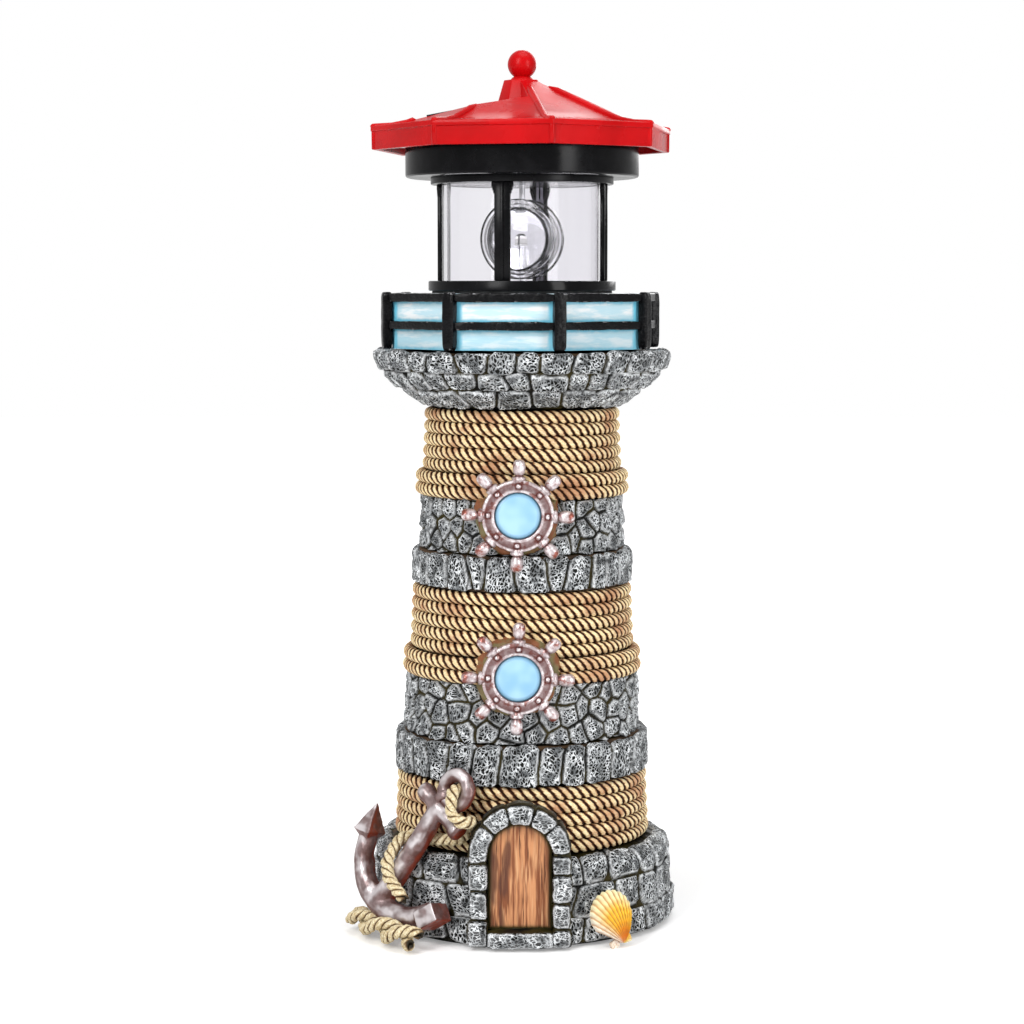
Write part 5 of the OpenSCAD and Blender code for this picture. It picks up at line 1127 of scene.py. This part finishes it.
def bar_at(heading, reach, height, sizes):
    """A block at a heading and a reach in millimetres, with its half depth, width and height."""
    def shape(u, v, w):
        out, aside = reach + sizes[0] * u, sizes[1] * v
        return (out * math.cos(heading) - aside * math.sin(heading),
                out * math.sin(heading) + aside * math.cos(heading), height + sizes[2] * w)
    return shape


mesh = bmesh.new()
for i in range(8):
    corner = gallery_turn + i * eighth
    rough_block(mesh, bar_at(corner, 57.2, 249.5, (2.0, 2.5, 11.55)), 17)
    for middle, half in ((258.85, 1.75), (247.7, 1.7)):
        rough_block(mesh, bar_at(corner + eighth / 2, 52.4, middle, (1.7, 20.6, half)), 17)
railing = settle("railing_bars", mesh)
normals = normals_of(railing)
heading = np.arctan2(normals[:, 1], normals[:, 0]) - gallery_turn
squarest = np.maximum(np.cos((heading + eighth / 2) % eighth - eighth / 2),
                      np.cos(heading % eighth - eighth / 2))
flatness = np.maximum(np.abs(normals[:, 2]), np.hypot(normals[:, 0], normals[:, 1]) * squarest)
mark(railing, "edge", ease((0.985 - flatness) / 0.06))
dented(railing, 5.0, 0.3, 81)
fit(railing, worn, "tower", "black_paint", "gallery_railing")

# ------------------------------------------------------------------ lantern frame
# The drop-in lantern: a base ring, four flat black columns with a rib down each, a stepped top
# ring and a deep collar, all of glossy black plastic, and two pale leads in the rear column.
upright = Matrix.Identity(4)
black, tree, shader = new_finish("black_plastic", 0.2, Specular_IOR_Level=0.11)
smears = noise(tree, 14, 4, 0.6)
inky = blend_colours(tree, between(tree, smears, 0.35, 0.7), (0.0015, 0.0015, 0.002), (0.005, 0.005, 0.006))
paint(tree, shader, inky, noise(tree, 9, 2), 0.06)
tree.links.new(between(tree, smears, 0.3, 0.75, 0.14, 0.28), shader.inputs["Roughness"])

base_outline = [(1.95, 261.5), (38.1, 261.5), (38.45, 261.6), (38.7, 261.95), (38.7, 265.1), (38.5, 265.5),
                (38.1, 265.6), (33.4, 265.6), (33.4, 264.2), (31, 264.2), (31, 265.6), (1.95, 265.6)]
top_outline = [(1.3, 305), (31, 305), (31, 306.5), (33.4, 306.5), (33.4, 305), (37.2, 305), (37.6, 305.15),
               (37.7, 305.5), (37.7, 307.7), (1.3, 307.7)]
for node, outline in (("base_ring", base_outline), ("top_ring", top_outline)):
    fit(turned(node + "_turned", outline, 160, crease=30), black, "head", "black_plastic", node)
collar_outline = [(4, 307.8), (36, 307.8), (36.3, 308.1), (37.0, 308.1), (37.3, 307.8), (46.9, 307.8),
                  (47.6, 308.0), (48.0, 308.5), (48.1, 309.2), (48.1, 321.9), (46.1, 321.9), (46.1, 309.8),
                  (4, 309.8)]
boss_outline, boss_reach = [(1.15, 309), (1.8, 309), (1.8, 315.78), (1.15, 315.78)], 0.0215
mesh = bmesh.new()
lathe(mesh, collar_outline, upright, 192, closed=True)
for heading in (85, 165, 245, 325):
    lathe(mesh, boss_outline, rotated(math.radians(heading), "Z") @ moved(boss_reach, 0, 0), 24, closed=True)
collar = settle("collar_turned", mesh, 30)
fit(collar, black, "head", "black_plastic", "collar_housing")

rear_column, column_tall, column_r, column_middle = 76.6, 39.4, 0.0344, 0.2853
mesh = bmesh.new()
for quarter in range(4):
    at = rotated(math.radians(rear_column + 90 * quarter), "Z")
    if quarter == 0:
        for side in (-1, 1):
            box(mesh, (1.9, 1.55, column_tall), at @ moved(column_r, side * 0.00247, column_middle))
        box(mesh, (0.75, 6.5, column_tall), at @ moved(0.03495, 0, column_middle))
    else:
        box(mesh, (1.9, 6.5, column_tall), at @ moved(column_r, 0, column_middle))
    box(mesh, (0.9, 1.6, column_tall), at @ moved(0.03545, 0, column_middle))
    for level, width in ((303.9, 8.9), (302.6, 8.1), (301.4, 7.3)):
        box(mesh, (1.85, width, 2.2), at @ moved(column_r, 0, level * MM), 0.25)
columns = settle("column_bars", mesh, 40)
fit(columns, black, "head", "black_plastic", "lantern_columns")

sleeve, tree, shader = new_finish("lead_sleeve", 0.3)
lilac = mottled(tree, 3, 2, (0.62, 0.60, 0.70), (0.85, 0.84, 0.92), 0.4, 0.6)
paint(tree, shader, lilac, noise(tree, 1.0, 2), 0.05)
lead_outline = [(0.01, 263.1), (0.6, 263.1), (0.75, 263.3), (0.75, 312.6), (0.6, 312.8), (0.01, 312.8)]
mesh = bmesh.new()
for side in (-1, 1):
    lathe(mesh, lead_outline, rotated(math.radians(rear_column), "Z") @ moved(0.03395, side * 0.00088, 0), 20)
fit(settle("lead_pair", mesh, 40), sleeve, "head", "lead_sleeve", "column_leads")

# ------------------------------------------------------------------ clear parts
# A clear cylinder with faint moulding waves, and inside it two round lenses back to back on a
# clear band. Each lens is a flat rim with a dome inside a fine step, and hangs from a steel pin.
crystal, tree, shader = new_finish("clear_cylinder", 0.02, Transmission_Weight=1.0, IOR=1.2,
                                   Specular_IOR_Level=0.5)
streaks = between(tree, noise(tree, 30, 2, 0.5, (1, 1, 0.2)), 0.3, 0.7)
tint = blend_colours(tree, streaks, (0.86, 0.85, 0.885), (0.93, 0.925, 0.945))
paint(tree, shader, tint, noise(tree, 16, 1, 0.5, (1, 1, 0.15)), 0.04)
cylinder = turned("clear_wall", [(31.2, 264.3), (33.2, 264.3), (33.2, 306.4), (31.2, 306.4)], 192, crease=40)
fit(cylinder, crystal, "head", "clear_plastic", "clear_cylinder")

optic, tree, shader = new_finish("clear_lens", 0.015, Transmission_Weight=1.0, IOR=1.47,
                                 Specular_IOR_Level=0.5)
watery = mottled(tree, 12, 1, (0.93, 0.93, 0.95), (0.98, 0.98, 0.99), 0.3, 0.7)
# The lens rims and step are painted black: painted reflections of the black rings above and below.
rimmed = blend_colours(tree, marked(tree, "rim"), watery, (0.001, 0.001, 0.001))
paint(tree, shader, rimmed, noise(tree, 7, 1), 0.03)
beacon_place = moved(0, 0, 0.2827) @ rotated(math.radians(-20), "Z")
dome = [(0.01, 3.62), (16.1, 3.62), (16.5, 4.0), (16.5, 5.3), (16.2, 5.6), (13.0, 5.75), (12.75, 5.5),
        (12.5, 5.95)]
dome += [(12.5 * math.cos(t), 5.95 + 2.05 * math.sin(t)) for t in np.radians(range(6, 90, 6))] + [(0.01, 8.0)]
for name, turn in (("front", math.pi / 2), ("rear", -math.pi / 2)):
    mesh = bmesh.new()
    lathe(mesh, fine_outline(dome, 0.3), beacon_place @ rotated(turn, "X"), 128)
    lens_dome = settle("lens_dome_" + name, mesh, 35)
    local = (points_of(lens_dome) - np.array(beacon_place.translation)) @ np.array(beacon_place.to_3x3())
    reach = np.hypot(local[:, 0], local[:, 2]) / MM
    # Dark rings at the lens edge and step, for the painted reflections of the black rings.
    rims = sum(share * np.exp(-((reach - middle) / width) ** 2)
               for middle, width, share in ((16.3, 0.4, 1.3), (12.7, 0.45, 1.3), (14.4, 0.3, 1)))
    mark(lens_dome, "rim", np.clip(rims, 0, 1))
    fit(lens_dome, optic, "beacon", "clear_plastic", "lens_" + name)
mesh = bmesh.new()
lathe(mesh, [(11.5, -3.58), (13.3, -3.58), (13.3, 3.58), (11.5, 3.58)],
      beacon_place @ rotated(math.pi / 2, "X"), 128, closed=True)
lathe(mesh, [(1.25, 10.9), (3.4, 10.9), (3.0, 14.3), (2.2, 15.6), (1.25, 15.6)], beacon_place, 32,
      closed=True)
fit(settle("lens_barrel", mesh, 35), optic, "beacon", "clear_plastic", "lens_band")

milky, tree, shader = new_finish("white_plastic", 0.35)
paint(tree, shader, mottled(tree, 8, 3, (0.72, 0.72, 0.70), (0.82, 0.82, 0.80)), noise(tree, 2, 2), 0.04)
resin_dome, tree, shader = new_finish("led_resin", 0.05, Transmission_Weight=0.95, IOR=1.45)
glassy = mottled(tree, 2, 2, (0.95, 0.94, 0.90), (0.99, 0.98, 0.95), 0.4, 0.6)
tree.links.new(glassy, shader.inputs["Base Color"])
mesh = bmesh.new()
lathe(mesh, [(0.01, 261.9), (1.75, 261.9), (1.75, 280.2), (0.01, 280.2)], upright, 32)
fit(settle("led_stem", mesh, 40), optic, "head", "clear_plastic", "led_post")
mesh = bmesh.new()
bulb_r, bulb_middle = 2.35, 282.7
lathe(mesh, [(0.01, 280.32), (2.6, 280.32), (2.6, 281.1), (bulb_r, 281.2), (bulb_r, bulb_middle)]
      + [(bulb_r * math.cos(t), bulb_middle + bulb_r * math.sin(t)) for t in np.radians(range(10, 90, 10))]
      + [(0.01, bulb_middle + bulb_r)], upright, 48)
fit(settle("led_bulb", mesh, 40), resin_dome, "head", "led_dome", "beacon_led")

# ------------------------------------------------------------------ roof
# An eight-sided roof of glossy red plastic. Three sides rise to the pedestal with a rounded ridge
# on each corner; the rest is cut off along a flat sloping shelf. A rim runs round the fascia.
roof_turn = math.radians(10.7 - 90)
shelf_heading = math.radians(-191.8)
shelf_way = np.array([math.cos(shelf_heading), math.sin(shelf_heading)])
eave, shelf_middle, shelf_tan, peak = 328.3, 338.2, math.tan(math.radians(9.6)), 18.6


def shelf_height(x, y):
    """Height of the shelf's plane, in millimetres."""
    return shelf_middle - shelf_tan * (x * shelf_way[0] + y * shelf_way[1])


def eight_sided(outline):
    """A closed eight-sided form from (corner radius, height) points in millimetres."""
    part = bmesh.new()
    spin_outline(part, outline, 8, False)
    bmesh.ops.transform(part, matrix=Matrix.Rotation(roof_turn, 4, "Z"), verts=part.verts[:])
    return part


def sloped_prism(corners):
    """A prism over a plan in millimetres, from the shelf's plane up past the roof."""
    part = bmesh.new()
    low = [part.verts.new((x * MM, y * MM, shelf_height(x, y) * MM)) for x, y in corners]
    sheet = part.faces.new(low)
    grown = bmesh.ops.extrude_face_region(part, geom=[sheet])["geom"]
    past_roof = 0.5
    for point in grown:
        if isinstance(point, bmesh.types.BMVert):
            point.co.z = past_roof
    return part


def cut_form(name, solid, cutters, bevel, crease):
    """A solid with others cut from it, in order, and its edges rounded."""
    blank = settle(name + "_blank", solid)
    used = [blank]
    for cutter in cutters:
        tool = settle(name + "_tool", cutter)
        used.append(tool)
        cut = blank.modifiers.new("cut", "BOOLEAN")
        cut.operation = "DIFFERENCE"
        cut.solver = "EXACT"
        cut.object = tool
    rounding = blank.modifiers.new("rounding", "BEVEL")
    rounding.width = bevel * MM
    rounding.segments = 3
    rounding.limit_method = "ANGLE"
    rounding.angle_limit = math.radians(12)
    data = bpy.data.meshes.new_from_object(blank.evaluated_get(bpy.context.evaluated_depsgraph_get()))
    for helper in used:
        spare = helper.data
        bpy.data.objects.remove(helper)
        bpy.data.meshes.remove(spare)
    piece = shown(name, data)
    data.set_sharp_from_angle(angle=math.radians(crease))
    return piece


slope = [(62.9, 0), (54, 0.4), (47.7, 1.7), (40.7, 4.4), (8, peak)]
roof_outline = [(0, 322.2), (59.5, 322.2), (59.5, 318.7), (62, 318.7), (62, eave - 2.2), (62.9, eave - 2.2)]
roof_outline += [(r, eave + z) for r, z in slope] + [(0, eave + peak)]
wedge_tip, wedge_reach, wedge_start = 2.3 * shelf_way, 150, math.radians(-304.3)
wedge = [wedge_tip] + [wedge_tip + wedge_reach * np.array([math.cos(a), math.sin(a)])
                       for a in wedge_start + eighth * np.arange(6)]
roof_shell = cut_form("roof_shell", eight_sided(roof_outline), [sloped_prism(wedge)], 0.4, 28)
gloss, tree, shader = new_finish("red_plastic", 0.2, Specular_IOR_Level=0.12)
cloudy = noise(tree, 22, 3)
reds = blend_colours(tree, between(tree, cloudy, 0.35, 0.65), (0.42, 0.001, 0.002), (0.52, 0.002, 0.004))
paint(tree, shader, reds, noise(tree, 12, 2), 0.05)
tree.links.new(between(tree, cloudy, 0.3, 0.7, 0.2, 0.32), shader.inputs["Roughness"])
fit(roof_shell, gloss, "head", "red_plastic", "roof")

ridges = []
line = [(62.3, eave - 0.9, 1.2), (61.6, eave - 0.35, 1.45)]
line += [(r, eave + z - 0.3, 1.5) for r, z in slope[1:-1]] + [(9.2, eave + 17.8, 1.5)]
for i in range(8):
    heading = roof_turn + i * eighth
    kept = []
    for start, end in zip(line, line[1:]):
        for k in range(8):
            r, z, thick = (a + (b - a) * k / 8 for a, b in zip(start, end))
            x, y = r * math.cos(heading), r * math.sin(heading)
            if i < 4 or z < shelf_height(x, y) - 0.1:
                kept.append((x, y, z, thick))
    ridges.append([(*kept[0][:3], 0.5)] + kept + [(*kept[-1][:3], 0.5)])
mesh = limb_mesh("roof_ridges", ridges, 5)
for i in range(8):
    lathe(mesh, [(0.01, 318.8), (1.0, 318.8), (1.3, 319.1), (1.4, 327.4), (1.2, 328.1), (0.01, 328.3)],
          rotated(roof_turn + i * eighth, "Z") @ moved(0.0611, 0, 0), 20)
# A small moulding mark on the right front of the fascia
mark_place = rotated(math.radians(-56.8), "Z") @ moved(0.05722, -0.0022, 0.3255) @ rotated(math.pi / 2, "Y")
lathe(mesh, [(0.01, 0.45), (0.4, 0.4), (0.75, 0.2), (0.9, -0.1), (0.01, -0.1)], mark_place, 20)
fit(settle("roof_ridges", mesh, 50), gloss, "head", "red_plastic", "roof")
pedestal = eight_sided([(0, 335.8), (11, 335.8), (7.6, 347.6), (0, 347.6)])
fit(cut_form("roof_pedestal", pedestal, [], 0.35, 28), gloss, "head", "red_plastic", "roof")
mesh = bmesh.new()
ball_r, ball_middle = 5.95, 354.05
ball_outline = [(0.01, 342), (2, 342), (2, 346.9), (4.9, 347.0), (4.8, 347.6), (4.5, 348.2), (4.1, 348.7)]
ball_outline += [(ball_r * math.cos(t), ball_middle + ball_r * math.sin(t))
                 for t in np.radians(range(-56, 90, 4))]
lathe(mesh, ball_outline + [(0.01, ball_middle + ball_r)], upright, 64)
fit(settle("finial_turned", mesh, 40), gloss, "head", "red_plastic", "finial_ball")

# ------------------------------------------------------------------ fittings kept from the CAD
# The parts inside, and the solar panel and the plate under the roof, keep their CAD forms. Each
# gets a moulded, rolled or printed surface of its own.


def plain_finish(name, roughness, dark, light, size, depth, **constants):
    """A finish of two close colours in soft patches, with a fine texture."""
    finish, tree, shader = new_finish(name, roughness, **constants)
    paint(tree, shader, mottled(tree, size, 3, dark, light), noise(tree, size / 5, 3), depth)
    return finish


dress(black, "base_housing", "battery_cover", "solar_frame")
dress(milky, "switch_knob", "spindle_gear", "idler_gear")
dress(plain_finish("gasket_rubber", 0.8, (0.012, 0.012, 0.012), (0.03, 0.03, 0.03), 5, 0.1), "seating_gasket")
dress(plain_finish("grey_plastic", 0.45, (0.20, 0.20, 0.21), (0.26, 0.26, 0.27), 8, 0.08),
      "switch_body", "drive_plate")
dress(plain_finish("pale_plate", 0.4, (0.46, 0.46, 0.47), (0.56, 0.56, 0.57), 12, 0.08), "soffit_plate")
steel = plain_finish("plated_steel", 0.28, (0.48, 0.48, 0.49), (0.62, 0.62, 0.63), 4, 0.03, Metallic=1.0)
dress(steel, "housing_screws", "battery_contact", "cover_pin", "drive_screws", "soffit_screws", "idler_post",
      "motor_shaft", "lens_spindle", "motor")
dress(plain_finish("turned_brass", 0.3, (0.52, 0.36, 0.12), (0.66, 0.48, 0.19), 3, 0.03, Metallic=1.0),
      "drive_pinion")

board, tree, shader = new_finish("circuit_board", 0.4)
tracks = add_node(tree, "TexBrick", {"Vector": add_node(tree, "TexCoord").outputs["Object"], "Scale": 220.0,
                                     "Mortar Size": 0.05, "Color1": (0.008, 0.13, 0.035, 1),
                                     "Color2": (0.012, 0.17, 0.05, 1), "Mortar": (0.10, 0.36, 0.13, 1)})
paint(tree, shader, tracks.outputs["Color"], tracks.outputs["Fac"], 0.05)
dress(board, "circuit_board")

wrap, tree, shader = new_finish("cell_sleeve", 0.25)
length = add_node(tree, "SeparateXYZ", {0: add_node(tree, "TexCoord").outputs["Object"]}).outputs["X"]
band = between(tree, length, 0.0105, 0.0112, curve="LINEAR")
banded = blend_colours(tree, band, (0.03, 0.26, 0.08), (0.62, 0.64, 0.62))
printed = blend_colours(tree, between(tree, noise(tree, 6, 3), 0.5, 0.8, 0, 0.4), banded, (0.05, 0.36, 0.13))
paint(tree, shader, printed, noise(tree, 3, 2), 0.05)
dress(wrap, "battery")

silicon, tree, shader = new_finish("solar_cell", 0.12, Coat_Weight=0.6)
turned_in = add_node(tree, "VectorRotate", {"Vector": add_node(tree, "TexCoord").outputs["Object"],
                                            "Axis": (0, 0, 1), "Angle": -shelf_heading})
spread = add_node(tree, "SeparateXYZ", {0: turned_in.outputs[0]})
lines = []
for axis, pitch, width in (("X", 0.0024, 0.055), ("Y", 0.0135, 0.03)):
    share = scaled(tree, scaled(tree, spread.outputs[axis], 1 / pitch), 1.0, "MODULO")
    lines.append(between(tree, scaled(tree, share, 1.0, "PINGPONG"), width, width * 0.5))
grid = scaled(tree, lines[0], lines[1], "MAXIMUM")
crystal_blue = mottled(tree, 5, 2, (0.006, 0.010, 0.035), (0.014, 0.024, 0.075))
tree.links.new(blend_colours(tree, grid, crystal_blue, (0.42, 0.43, 0.46)), shader.inputs["Base Color"])
dress(silicon, "solar_cell")

coil_start, coil_length, coil_r, coil_height, wire_r, coil_steps = -26.2, 3.85, 3.2, 234.7, 0.3, 72
coil = [(coil_start + coil_length * i / coil_steps, coil_r * math.cos(i * math.pi / 12),
         coil_height + coil_r * math.sin(i * math.pi / 12), wire_r) for i in range(coil_steps + 1)]
mesh = limb_mesh("spring_coil", [coil], 4)
fit(settle("spring_coil", mesh, 50), steel, "head", "steel", "battery_spring")
